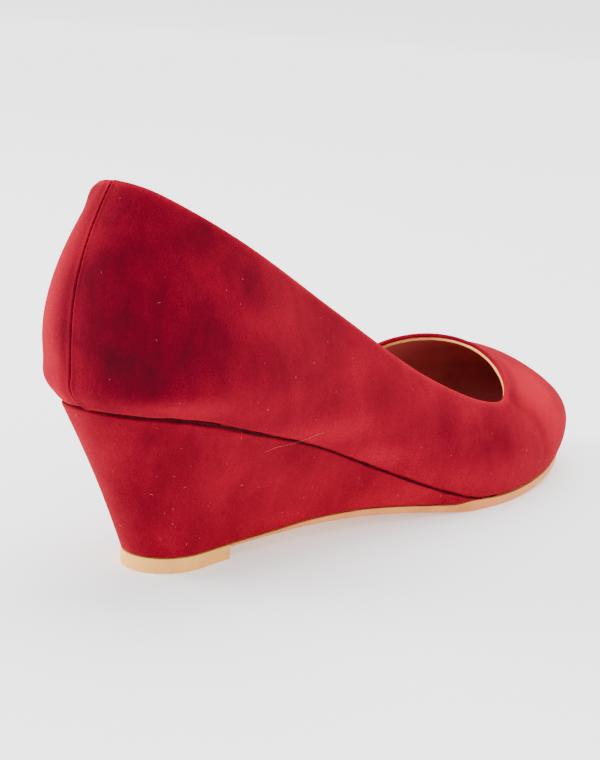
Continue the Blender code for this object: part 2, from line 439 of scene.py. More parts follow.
@dataclass
class WallGrid:
    """The outside of the last as rings of columns: down the outer side, up the inner side.

    Columns run from the heel along the outer side to the toe and back along the inner side.
    Rows run from the margin's inner edge, round the feather edge and up to the collar.
    """

    last: Last = field(default_factory=Last)
    seam_columns: int = 14
    seam_reach: float = 0.028
    back_columns: int = 150
    front_columns: int = 84
    margin_rows: int = 4
    edge_rows: int = 6
    wall_rows: int = 54
    top_steps: tuple[float, ...] = (3.0, 2.4, 1.9, 1.5, 1.2, 0.9, 0.6, 0.3, 0.0)
    edge_round: float = 1.3
    fold_drop: float = 0.8
    fade: Span = (166.0, 180.0)

    def stations(self) -> Array:
        """Return x of the columns on the feather line, dense at the back seam and both ends.

        Returns:
            The stations from heel to toe, spread by a cosine in two stretches.
        """
        throat = self.last.throat_share * self.last.length
        seam = np.linspace(0.0, self.seam_reach, self.seam_columns, endpoint=False)
        rest = np.linspace(self.seam_reach, 1.0, self.back_columns + 1)
        back = throat * (1 - np.cos(math.pi * np.concatenate([seam, rest]))) / 2
        t = np.linspace(0.0, 1.0, self.front_columns + 1)[1:]
        front = throat + (self.last.length - throat) * (1 - np.cos(math.pi * t)) / 2
        return np.concatenate([back, front])

    @property
    def throat_column(self) -> int:
        """Return the index of the column that ends at the throat's point."""
        return self.seam_columns + self.back_columns

    def parameters(self, handles: Handles) -> Array:
        """Choose the Bezier parameters of the wall's rows in each column.

        The rows start past the rounded feather edge. The last ones lie at set distances from
        the collar, so that the fold is fine.

        Args:
            handles: The columns' Bezier points.

        Returns:
            The parameters by row and column.
        """
        ridge_x = handles[3][:, 0]
        drop = self.fold_drop * (1 - smooth_step(*self.fade, ridge_x))
        cut = self.last.collar_cut(handles, drop)
        cut[self.throat_column:] = 1.0
        speed = self.last.speed(handles, cut)
        first = self.edge_round / self.last.speed(handles, np.zeros(len(cut)))
        last = cut - self.top_steps[0] / speed
        shares = np.linspace(0.0, 1.0, self.wall_rows, endpoint=False)
        rows = [first + (last - first) * share for share in shares]
        rows += [cut - step / speed for step in self.top_steps]
        return np.array(rows)

    def underside(self, side: Side, x: Array, handles: Handles, first: Array) -> Array:
        """Work out the rows across the lasting margin and round the feather edge.

        The edge is a quadratic curve from the margin, round the feather line and on to the wall.

        Args:
            side: The side of the shoe.
            x: Stations of the columns.
            handles: The columns' Bezier points.
            first: The parameter of each column's first wall row.

        Returns:
            The points by row and column.
        """
        feather = handles[0]
        inner_x = self.last.margin + x * (1 - 2 * self.last.margin / self.last.length)
        margin = stack(inner_x, self.last.outline(side, inner_x, self.last.margin), self.last.height(inner_x))
        start = feather + unit(margin - feather) * self.edge_round
        end = self.last.bezier(handles, first)
        shares = np.linspace(0.0, 1.0, self.margin_rows, endpoint=False)
        rows = [margin + (start - margin) * w for w in shares]
        shares = np.linspace(0.0, 1.0, self.edge_rows, endpoint=False)
        rows += [(1 - w) ** 2 * start + 2 * w * (1 - w) * feather + w**2 * end for w in shares]
        return np.array(rows)

    def ring(self) -> "Ring":
        """Join both sides into closed rings of columns, with their distances from the collar.

        Returns:
            The ring of all columns.
        """
        x = self.stations()
        sides = []
        for side in Side:
            handles = self.last.handles(side, x)
            t = self.parameters(handles)
            sides.append((self.underside(side, x, handles, t[0]), np.array(handles), t))
        under, handles, t = (
            np.concatenate([outer, inner[:, -2:0:-1]], axis=1) for outer, inner in zip(*sides)
        )
        wall = np.array([self.last.bezier(handles, row) for row in t])
        back, ahead = np.roll(handles, 1, axis=1), np.roll(handles, -1, axis=1)
        along = np.array([self.last.bezier(ahead, row) - self.last.bezier(back, row) for row in t])
        up = np.array([self.last.velocity(handles, row) for row in t])
        past = np.maximum(handles[3][:, 0] - self.last.throat, 0.0)
        depth = np.hypot((t[-1] - t) * self.last.speed(handles, t[-1]), past)
        far = np.full(under.shape[:2], depth.max())
        meeting = int(np.argmax((t[-1] >= 1.0) & (handles[3][:, 0] >= self.last.throat)))
        points = np.concatenate([under, wall])
        return Ring(points, np.concatenate([far, depth]), unit(np.cross(along, up)), meeting)


@dataclass
class Ring:
    """A ring of wall columns, which face each other across the shoe and meet on the ridge."""

    points: Array
    depth: Array
    wall_normals: Array
    meeting: int

    def __post_init__(self) -> None:
        """Work out the outward normals and the columns that end on the collar.

        Under the wall, a normal is the cross product of the two grid directions. On the
        ridge, where the two sides meet, it is the mean of both sides.
        """
        self.count = self.points.shape[1]
        self.loop = np.concatenate(
            [np.arange(self.meeting, -1, -1), np.arange(self.count - 1, self.count - self.meeting, -1)]
        )
        along = np.roll(self.points, -1, axis=1) - np.roll(self.points, 1, axis=1)
        self.normals = unit(np.cross(along, np.gradient(self.points, axis=0)))
        self.normals[-len(self.wall_normals):] = self.wall_normals
        ridge = np.arange(self.meeting, self.count - self.meeting + 1)
        self.normals[-1, ridge] = unit(self.normals[-1, ridge] + self.normals[-1, self.count - ridge])

    def drawn_back(self, distance: float, reach: float = 12.0) -> Array:
        """Draw the rows near the collar back from the opening, square to the collar.

        The move is the full distance at the collar and dies out smoothly with the depth.

        Args:
            distance: How far the collar itself is drawn back.
            reach: The depth at which nothing moves.

        Returns:
            The moved points.
        """
        opening = np.empty((self.count, 3))
        opening[self.loop] = self.towards_opening()
        opening[self.meeting:self.count - self.meeting + 1] = opening[self.meeting]
        share = 1 - smooth_step(0.0, reach, self.depth)
        return self.points - opening * (distance * share)[..., None]

    def towards_opening(self) -> Array:
        """Return, along the collar loop, the direction in the surface that points to the opening.

        Returns:
            Directions of length one: the collar's own direction times the normal, as a cross product.
        """
        line = self.points[-1, self.loop]
        along = np.roll(line, -1, axis=0) - np.roll(line, 1, axis=0)
        return unit(np.cross(along, self.normals[-1, self.loop]))


@dataclass(frozen=True)
class Crease:
    """A soft crease of the upper, along a line on its surface."""

    line: tuple[Point, ...]
    depth: float
    width: float

    def relief(self, points: Array) -> Array:
        """Return how far the crease moves each point outwards, a bell across the line."""
        return self.depth * bump(polyline_distance(points, np.array(self.line)), self.width)


@dataclass(frozen=True)
class NapAndLightPatch:
    """A soft cloud, lighter or darker than the rest: partly brushed nap, partly painted light and shade."""

    centre: Point
    reach: Point
    strength: float

    def shade(self, points: Array) -> Array:
        """Return the cloud's share of the shade at each point, a bell in all three directions."""
        away = (points - np.array(self.centre)) / np.array(self.reach)
        return self.strength * np.exp(-np.sum(away**2, axis=-1))


def own_points(item: bpy.types.Object) -> Array:
    """Return a piece's vertices in the shoe's own frame, in millimetres.

    Args:
        item: The piece.

    Returns:
        One row for each vertex.
    """
    flat = np.empty(len(item.data.vertices) * 3)
    item.data.vertices.foreach_get("co", flat)
    return flat.reshape(-1, 3) / MM + ORIGIN


def store_nap_and_light(item: bpy.types.Object, shade: Array) -> None:
    """Store the nap's shade, which also holds painted light and shade, on a piece's vertices.

    Args:
        item: The piece.
        shade: The shade of each vertex, from 0 for dark to 1 for light.
    """
    layer = item.data.attributes.new(NAP_AND_LIGHT, "FLOAT", "POINT")
    layer.data.foreach_set("value", np.clip(shade, 0.0, 1.0))


def grid_quads(rows: int, columns: int, start: int = 0, wrap: bool = False, flip: bool = False) -> Array:
    """Number the quads of a grid whose points are numbered row by row.

    Args:
        rows: How many rows of points.
        columns: How many points in a row.
        start: The number of the grid's first point.
        wrap: Whether the last column joins the first.
        flip: Whether the quads are turned round.

    Returns:
        Four point numbers for each quad.
    """
    row = np.arange(rows - 1)[:, None]
    column = np.arange(columns if wrap else columns - 1)[None, :]
    after = (column + 1) % columns
    corners = np.broadcast_arrays(
        row * columns + column,
        row * columns + after,
        (row + 1) * columns + after,
        (row + 1) * columns + column,
    )
    quads = start + np.stack(corners, axis=-1).reshape(-1, 4)
    return quads[:, ::-1] if flip else quads


class Surface:
    """Collects grids of points into one mesh, with points that coincide welded together."""

    def __init__(self) -> None:
        """Start with no points and no faces."""
        self.points: list[Array] = []
        self.quads: list[Array] = []
        self.count = 0

    def add(self, grid: Array, wrap: bool = False, flip: bool = False) -> None:
        """Add a grid of points by row and column, with its quads.

        Args:
            grid: The points, with coordinates along the last axis.
            wrap: Whether the last column joins the first.
            flip: Whether the quads are turned round.
        """
        rows, columns = grid.shape[:2]
        self.quads.append(grid_quads(rows, columns, self.count, wrap, flip))
        self.points.append(grid.reshape(-1, 3))
        self.count += rows * columns

    def build(self, name: str, sharp: float = 50.0) -> bpy.types.Object:
        """Weld the grids into one smooth object that faces outwards.

        Args:
            name: The piece's name.
            sharp: Edges sharper than this, in degrees, stay sharp.

        Returns:
            The new object, in the scene.
        """
        mesh = bpy.data.meshes.new(name)
        points = (np.concatenate(self.points) - ORIGIN) * MM
        mesh.from_pydata(points.tolist(), [], np.concatenate(self.quads).tolist())
        weld = bmesh.new()
        weld.from_mesh(mesh)
        bmesh.ops.remove_doubles(weld, verts=weld.verts, dist=WELD * MM)
        bmesh.ops.recalc_face_normals(weld, faces=weld.faces)
        if weld.calc_volume(signed=True) < 0:
            bmesh.ops.reverse_faces(weld, faces=weld.faces)
        loose = sum(1 for edge in weld.edges if len(edge.link_faces) != 2)
        weld.to_mesh(mesh)
        weld.free()
        mesh.shade_smooth()
        mesh.set_sharp_from_angle(angle=math.radians(sharp))
        item = bpy.data.objects.new(name, mesh)
        bpy.context.scene.collection.objects.link(item)
        LOG.info("%s: %d faces, %d open edges", name, len(mesh.polygons), loose)
        return item


def place(item: bpy.types.Object, slot: Slot, material: bpy.types.Material, *nodes: str) -> bpy.types.Object:
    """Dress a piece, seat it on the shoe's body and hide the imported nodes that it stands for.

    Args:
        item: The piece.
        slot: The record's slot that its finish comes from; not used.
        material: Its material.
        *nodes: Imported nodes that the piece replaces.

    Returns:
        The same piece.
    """
    item.data.materials.clear()
    item.data.materials.append(material)
    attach(item, BODY)
    if nodes:
        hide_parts(*nodes)
    return item


def tubes(paths: Array, facing: Array, radius: Array, sides: int = 6) -> Surface:
    """Sweep a round section along many short paths, each closed to a point at both ends.

    Args:
        paths: Points by path and step.
        facing: A direction across each path, such as the normal of what it lies on.
        radius: The radius at each step, 0 at both ends.
        sides: Sides of the round section.

    Returns:
        The tubes as one surface.
    """
    along = unit(np.gradient(paths, axis=1))
    across = unit(np.cross(along, facing[:, None, :]))
    up = np.cross(across, along)
    angle = np.linspace(0.0, 2 * math.pi, sides, endpoint=False)
    ring = across[:, :, None] * np.cos(angle)[:, None] + up[:, :, None] * np.sin(angle)[:, None]
    points = paths[:, :, None] + ring * radius[None, :, None, None]
    surface = Surface()
    for tube in points:
        surface.add(tube, wrap=True)
    return surface


@dataclass
class Lint:
    """Short pale fibres caught in the nap, each a thin bent tube that ends in points."""

    name: str
    count: int
    seed: int
    length: Span = (0.22, 1.2)
    bend: float = 0.55
    lift: float = 0.05
    radius: float = 0.030
    steps: int = 6
    sides: int = 5

    def build(self, grid: Array, normals: Array) -> bpy.types.Object:
        """Scatter the fibres over a surface, as thickly on every square millimetre of it.

        A fibre is a parabola in the plane that touches the surface, raised a little off it.

        Args:
            grid: The surface's points by row and column.
            normals: Its outward directions.

        Returns:
            The fibres as one object.
        """
        rng = np.random.default_rng(self.seed)
        area = np.linalg.norm(np.cross(np.gradient(grid, axis=0), np.gradient(grid, axis=1)), axis=-1).ravel()
        picked = rng.choice(area.size, self.count, replace=False, p=area / area.sum())
        at, normal = grid.reshape(-1, 3)[picked], normals.reshape(-1, 3)[picked]
        along = unit(np.cross(normal, rng.normal(size=at.shape)))
        across = np.cross(normal, along)
        length = self.length[0] + (self.length[1] - self.length[0]) * rng.random(self.count) ** 2
        bend = rng.uniform(-self.bend, self.bend, self.count)
        share = np.linspace(-0.5, 0.5, self.steps)
        reach = length[:, None] * share
        rise = self.lift * (1 + length[:, None] * (0.25 - share**2))
        paths = at[:, None] + along[:, None] * reach[..., None] + normal[:, None] * rise[..., None]
        paths += across[:, None] * (bend[:, None] * reach**2)[..., None]
        radius = self.radius * np.sqrt(np.clip(1 - (2 * share) ** 2, 0.0, 1.0))
        return tubes(paths, normal, radius, self.sides).build(self.name, sharp=NEVER_SHARP)


@dataclass
class Upper:
    """The upper: velour folded over at the collar, its lining and the lining's pale cut edge."""

    grid: WallGrid = field(default_factory=WallGrid)
    velour: float = 0.9
    wall: float = 1.8
    fold: float = 0.7
    fold_end: Span = (1.2, 1.8)
    fold_steps: int = 9
    lining_inset: float = 2.2
    lining_gap: float = 0.05
    edge_inset: float = 1.75
    edge_depth: float = 1.5
    edge_half_height: float = 0.66
    edge_half_width: float = 0.6
    edge_sides: int = 12
    edge_even: float = 10.0
    edge_wave: float = 0.2
    edge_waves: tuple[float, ...] = (31.0, 13.0, 7.5)
    edge_swell: float = 0.15
    edge_swells: tuple[float, ...] = (17.0, 6.0)
    edge_seeds: tuple[int, int] = (3, 5)
    edge_front: float = 1.7
    edge_front_reach: Span = (4.0, 26.0)
    edge_front_sides: Span = (-14.0, 12.0)
    seam: Sections = Sections(
        ("z", "y"),
        ((48.0, -1.9), (52.0, -0.6), (57.0, 0.1), (67.0, -0.4), (77.0, 0.0), (90.0, 0.6), (108.0, 1.1)),
    )
    seam_reach: Span = (16.0, 22.0)
    groove_depth: float = 0.75
    groove_width: float = 0.36
    lip_height: float = 0.22
    lip_at: float = 0.95
    lip_width: float = 0.55
    roll_depth: float = 0.32
    roll_at: float = 1.5
    roll_width: float = 1.3
    stitch_pitch: float = 1.5
    stitch_length: float = 0.8
    stitch_radius: float = 0.13
    stitch_sink: float = 0.26
    stitch_from: float = 4.0
    stitch_to: float = 1.0
    stitch_steps: int = 7
    counter_full: float = 1.3
    counter_height: float = 54.5
    counter_width: float = 3.5
    counter_reach: Span = (10.0, 42.0)
    corner_inner: Point = (12.5, 9.5, 103.2)
    corner_outer: Point = (12.5, -8.0, 103.2)
    corner_full: Span = (1.2, 0.4)
    corner_width: float = 3.4
    hair_line: tuple[Point, ...] = (
        (48.5, -23.3, 34.2), (52.6, -24.1, 34.9), (57.5, -24.9, 35.3), (62.1, -25.6, 35.8),
        (65.0, -26.0, 36.1), (68.0, -26.5, 36.5), (71.1, -26.9, 37.0),
    )
    hair_steps: int = 48
    hair_off: float = 0.25
    hair_wave: float = 0.15
    hair_bends: int = 3
    hair_taper: int = 8
    hair_radius: float = 0.018
    # Painted highlight along the collar's fold: its strength and width.
    collar_highlight: float = 0.45
    collar_highlight_width: float = 1.5
    hem_lift: float = 0.45
    hem_width: float = 0.9
    hem_waves: tuple[float, ...] = (17.0, 8.5, 5.0)
    hem_slant: float = 0.7
    hem_seed: int = 7
    lint_count: int = 120
    lint_seed: int = 21
    creases: tuple[Crease, ...] = (
        Crease(
            ((166.0, -31.0, 35.0), (168.8, -32.5, 31.8), (174.1, -34.0, 27.9),
             (180.4, -35.0, 23.7), (182.9, -36.1, 19.0), (185.8, -36.2, 13.7)),
            -0.36, 2.7,
        ),
        Crease(((184.0, -20.0, 40.2), (178.0, -26.5, 36.8), (172.0, -31.0, 33.4)), 0.26, 2.8),
        Crease(((146.0, -34.2, 30.5), (150.1, -35.7, 25.4), (153.3, -36.7, 21.7)), -0.30, 2.4),
        Crease(((139.0, -33.5, 30.0), (143.0, -35.0, 24.0)), -0.16, 2.6),
        Crease(((158.0, -37.0, 25.0), (161.0, -37.8, 17.0)), 0.18, 3.2),
        Crease(((150.0, 37.0, 24.0), (157.0, 38.0, 16.0)), -0.26, 2.8),
        Crease(((168.0, 33.0, 31.0), (178.0, 36.0, 22.0)), -0.30, 2.8),
    )
    # Clouds of brushed nap that also paint light and shade: the bright toe top, the bright band along the
    # lower edge and the inner heel strip's lit outer part and shaded seam side are painted light and shade.
    nap_and_light_patches: tuple[NapAndLightPatch, ...] = (
        NapAndLightPatch((20.0, -19.0, 95.0), (17.0, 11.0, 6.5), -0.18),
        NapAndLightPatch((11.0, -9.0, 102.0), (7.0, 7.0, 6.0), -0.12),
        NapAndLightPatch((34.0, -24.0, 86.0), (10.0, 9.0, 5.0), -0.12),
        NapAndLightPatch((19.0, -22.0, 82.5), (12.0, 14.0, 6.0), 0.14),
        NapAndLightPatch((36.0, -28.0, 73.0), (9.0, 10.0, 4.5), 0.19),
        NapAndLightPatch((48.0, -28.0, 71.0), (8.0, 10.0, 5.0), 0.07),
        NapAndLightPatch((4.0, -14.0, 65.0), (16.0, 14.0, 14.0), -0.22),
        NapAndLightPatch((14.0, -18.0, 82.0), (26.0, 18.0, 26.0), -0.07),
        NapAndLightPatch((-1.5, -4.0, 85.0), (4.0, 4.0, 7.0), -0.12),
        NapAndLightPatch((-3.0, 2.6, 68.0), (7.0, 3.2, 17.0), -0.20),
        NapAndLightPatch((-2.0, 11.5, 76.0), (9.0, 5.5, 18.0), 0.30),
        NapAndLightPatch((10.0, -18.0, 51.0), (15.0, 10.0, 2.6), 0.22),
        NapAndLightPatch((40.0, -27.0, 47.5), (20.0, 10.0, 4.0), 0.12),
        NapAndLightPatch((75.0, -26.0, 36.0), (25.0, 10.0, 5.0), 0.28),
        NapAndLightPatch((105.0, -28.0, 24.0), (20.0, 10.0, 5.0), 0.17),
        NapAndLightPatch((125.0, -33.0, 15.0), (15.0, 10.0, 4.5), 0.13),
        NapAndLightPatch((54.0, -29.0, 60.5), (10.0, 9.0, 8.0), -0.10),
        NapAndLightPatch((54.0, -29.0, 51.0), (6.0, 9.0, 3.5), 0.10),
        NapAndLightPatch((141.5, -33.0, 34.0), (8.0, 9.0, 4.5), 0.12),
        NapAndLightPatch((128.0, -33.0, 24.0), (5.0, 9.0, 11.0), -0.07),
        NapAndLightPatch((155.0, -36.6, 21.0), (8.0, 9.0, 9.0), -0.12),
        NapAndLightPatch((180.0, -35.0, 23.0), (4.0, 6.0, 8.0), -0.10),
        NapAndLightPatch((191.0, -26.0, 34.0), (15.0, 14.0, 10.0), 0.66),
        NapAndLightPatch((200.0, -31.0, 18.0), (9.0, 10.0, 9.0), 0.32),
        NapAndLightPatch((30.0, 26.0, 72.0), (14.0, 9.0, 10.0), -0.14),
        NapAndLightPatch((62.0, 27.0, 52.0), (16.0, 9.0, 8.0), 0.12),
        NapAndLightPatch((96.0, 28.0, 34.0), (14.0, 9.0, 9.0), -0.12),
        NapAndLightPatch((150.0, 37.0, 22.0), (9.0, 9.0, 8.0), -0.17),
        NapAndLightPatch((192.0, 24.0, 32.0), (16.0, 14.0, 10.0), 0.50),
        NapAndLightPatch((1.0, -8.5, 81.0), (8.0, 7.0, 17.0), -0.27),
        NapAndLightPatch((14.0, -24.0, 70.0), (14.0, 12.0, 13.0), -0.13),
        NapAndLightPatch((27.0, -29.0, 60.0), (9.0, 9.0, 8.0), -0.12),
        NapAndLightPatch((125.0, -30.0, 40.0), (28.0, 12.0, 12.0), 0.13),
        NapAndLightPatch((180.0, -35.0, 22.0), (16.0, 12.0, 14.0), 0.19),
        NapAndLightPatch((95.0, -26.0, 25.0), (13.0, 9.0, 6.0), 0.26),
        NapAndLightPatch((145.0, -36.0, 10.5), (26.0, 12.0, 6.0), 0.27),
        NapAndLightPatch((-2.5, 4.5, 57.0), (6.0, 3.5, 8.0), 0.26),
        NapAndLightPatch((12.0, -20.0, 83.0), (10.0, 8.0, 6.0), -0.12),
        NapAndLightPatch((36.0, -27.0, 77.0), (10.0, 8.0, 6.0), -0.10),
        NapAndLightPatch((96.0, -27.0, 54.0), (24.0, 10.0, 9.0), 0.15),
        NapAndLightPatch((188.0, -26.0, 34.0), (12.0, 10.0, 9.0), 0.18),
        NapAndLightPatch((62.0, -26.0, 38.0), (14.0, 9.0, 5.0), 0.15),
    )
    face: Array = field(init=False)
    facing: Array = field(init=False)

    def seam_relief(self, points: Array) -> Array:
        """Return the back seam's relief: a narrow groove, a thin lip on one side, a roll on the other.

        Args:
            points: Points of the outer face.

        Returns:
            The sum of three bells across the seam, which fades out round the heel.
        """
        off = points[..., 1] - self.seam.read("y", points[..., 2])
        relief = self.lip_height * bump(off + self.lip_at, self.lip_width)
        relief -= self.groove_depth * bump(off, self.groove_width)
        relief -= self.roll_depth * bump(off - self.roll_at, self.roll_width)
        return relief * (1 - smooth_step(*self.seam_reach, points[..., 0]))

    def relief(self, points: Array) -> Array:
        """Work out the outer face's relief: the seam, the stiff counter's fullness, the creases.

        Args:
            points: Points of the outer face.

        Returns:
            How far each point is moved outwards.
        """
        relief = self.seam_relief(points)
        behind = 1 - smooth_step(*self.counter_reach, points[..., 0])
        relief += self.counter_full * behind * bump(points[..., 2] - self.counter_height, self.counter_width)
        for corner, full in zip((self.corner_inner, self.corner_outer), self.corner_full):
            relief += full * bump(np.linalg.norm(points - np.array(corner), axis=-1), self.corner_width)
        for crease in self.creases:
            relief += crease.relief(points)
        return relief

    def shade(self, points: Array) -> Array:
        """Return the shade: clouds of brushed nap and painted light and shade, and a painted highlight along
        the collar's fold.

        Args:
            points: The velour's vertices.

        Returns:
            The plain shade plus a bell for each cloud and one at the collar.
        """
        # Painted highlight along the collar's fold, fading out towards the throat.
        painted_highlight = self.collar_highlight * bump(self.grid.last.over_collar(points), self.collar_highlight_width)
        behind = 1 - smooth_step(*self.grid.fade, points[..., 0])
        return PLAIN_NAP + painted_highlight * behind + np.sum([patch.shade(points) for patch in self.nap_and_light_patches], axis=0)

    def hem(self, points: Array) -> Array:
        """Return how far the lower edge is lifted, in uneven scallops that die out upwards.

        Args:
            points: Points of the outer face.

        Returns:
            A sum of waves along the edge times a bell of the height.
        """
        x = points[..., 0]
        above = points[..., 2] - self.grid.last.height(x)
        along = x + self.hem_slant * points[..., 1]
        wave = 0.5 + 0.5 * ripple(along, self.hem_waves, self.hem_seed)
        return self.hem_lift * wave * bump(above, self.hem_width)

    def build_velour(self) -> bpy.types.Object:
        """Build the velour layer as one closed wall, rolled over a half circle at the collar.

        The outer face is the last plus the relief along its normals, and the inner face lies one
        thickness in. The fold is the half circle of points at
        normal * cos(turn) + opening * sin(turn).

        Returns:
            The piece.
        """
        ring = self.grid.ring()
        ring.points[..., 2] += self.hem(ring.points)
        raised = ring.points + ring.normals * self.relief(ring.points)[..., None]
        self.face, self.facing = raised, ring.normals
        thick = 2 * self.fold + (self.velour - 2 * self.fold) * smooth_step(*self.fold_end, ring.depth)
        inside = ring.points - ring.normals * thick[..., None]
        edge = ring.points[-1, ring.loop]
        lift = raised[-1, ring.loop] - edge
        normal = ring.normals[-1, ring.loop]
        opening = ring.towards_opening()
        arc = []
        for turn in np.linspace(0.0, math.pi, self.fold_steps):
            circle = normal * math.cos(turn) + opening * math.sin(turn)
            arc.append(edge + self.fold * (circle - normal) + lift * (1 + math.cos(turn)) / 2)
        surface = Surface()
        surface.add(raised, wrap=True)
        surface.add(inside, wrap=True, flip=True)
        surface.add(np.array(arc), wrap=True, flip=True)
        surface.add(np.array([inside[0], raised[0]]), wrap=True)
        return surface.build("upper_velour")

    def build_lining(self) -> bpy.types.Object:
        """Build the lining as a thin wall inside the velour, up to its pale cut edge.

        Returns:
            The piece.
        """
        ring = self.grid.ring()
        points = ring.drawn_back(self.lining_inset)
        outside = points - ring.normals * (self.velour + self.lining_gap)
        inside = points - ring.normals * self.wall
        surface = Surface()
        surface.add(outside, wrap=True)
        surface.add(inside, wrap=True, flip=True)
        surface.add(np.array([outside[-1, ring.loop], inside[-1, ring.loop]]), wrap=True, flip=True)
        surface.add(np.array([inside[0], outside[0]]), wrap=True)
        return surface.build("lining")

    def build_edge(self) -> bpy.types.Object:
        """Build the lining's cut edge: an oval section swept along the collar, slightly uneven.

        It stands out further towards the opening round the front of the throat, on the outer side.

        Returns:
            The piece.
        """
        ring = self.grid.ring()
        normal = ring.normals[-1, ring.loop]
        opening = ring.towards_opening()
        line = ring.drawn_back(self.edge_inset)[-1, ring.loop]
        along = np.cumsum(np.linalg.norm(np.diff(line, axis=0, prepend=line[:1]), axis=-1))
        even = smooth_step(0.0, self.edge_even, np.minimum(along, along[-1] - along))
        wave = (even * ripple(along, self.edge_waves, self.edge_seeds[0]))[:, None]
        back = smooth_step(*self.edge_front_reach, line[:, 0].max() - line[:, 0])
        inner = smooth_step(*self.edge_front_sides, line[:, 1])
        front = self.edge_front * ((1 - back) * (1 - inner))[:, None]
        line = line - normal * self.edge_depth + opening * (self.edge_wave * wave + front)
        swell = 1 + self.edge_swell * even * ripple(along, self.edge_swells, self.edge_seeds[1])
        height = self.edge_half_height * swell[:, None]
        angle = np.linspace(0.0, 2 * math.pi, self.edge_sides, endpoint=False)
        rows = [
            line + opening * height * math.sin(a) + normal * self.edge_half_width * math.cos(a)
            for a in np.append(angle, 0.0)
        ]
        surface = Surface()
        surface.add(np.array(rows), wrap=True)
        return surface.build("lining_edge", sharp=NEVER_SHARP)

    def build_stitches(self) -> bpy.types.Object:
        """Build the back seam's thread: one short bridge to each stitch, in the groove.

        Returns:
            The piece.
        """
        ring = self.grid.ring()
        column = ring.points[:, 0]
        low, high = self.seam.rows[0][0] + self.stitch_from, column[-1, 2] - self.stitch_to
        z = np.arange(low, high, self.stitch_pitch)
        wall = column[self.grid.margin_rows + self.grid.edge_rows:]
        share = np.linspace(-0.5, 0.5, self.stitch_steps)
        path_z = z[:, None] + share * self.stitch_length
        path_x = np.interp(path_z, wall[:, 2], wall[:, 0]) + self.stitch_sink
        paths = stack(path_x, self.seam.read("y", path_z), path_z)
        facing = np.tile((-1.0, 0.0, 0.0), (len(z), 1))
        radius = self.stitch_radius * np.sqrt(np.clip(1 - (2 * share) ** 2, 0.0, 1.0))
        return tubes(paths, facing, radius).build("seam_thread", sharp=NEVER_SHARP)

    def build_hair(self) -> bpy.types.Object:
        """Build the one long fibre that lies across the gap between the upper and the wedge.

        Returns:
            The piece.
        """
        line = np.array(self.hair_line)
        share = np.linspace(0.0, 1.0, self.hair_steps)
        knots = np.linspace(0.0, 1.0, len(line))
        path = np.stack([np.interp(share, knots, line[:, axis]) for axis in range(3)], axis=-1)
        path[:, 1] -= self.hair_off
        path[:, 2] += self.hair_wave * np.sin(self.hair_bends * math.pi * share)
        radius = self.hair_radius * np.sqrt(np.clip(1 - (2 * share - 1) ** self.hair_taper, 0.0, 1.0))
        facing = np.array([(0.0, -1.0, 0.0)])
        return tubes(path[None], facing, radius).build("long_fibre", sharp=NEVER_SHARP)

    def build(self, finishes: "Finishes") -> None:
        """Build and dress the upper's pieces.

        Args:
            finishes: The materials.
        """
        velour = place(self.build_velour(), Slot.VELOUR, finishes.velour, "upper")
        # The stored shade is partly brushed nap, partly painted light and shade, with a painted highlight at
        # the collar.
        store_nap_and_light(velour, self.shade(own_points(velour)))
        lint = Lint("upper_lint", self.lint_count, self.lint_seed)
        rows = slice(self.grid.margin_rows + self.grid.edge_rows, None)
        place(lint.build(self.face[rows], self.facing[rows]), Slot.VELOUR, finishes.fibre)
        place(self.build_hair(), Slot.VELOUR, finishes.fibre)
        place(self.build_lining(), Slot.LINING, finishes.lining)
        place(self.build_edge(), Slot.SOLE, finishes.cut_edge)
        place(self.build_stitches(), Slot.VELOUR, finishes.thread)


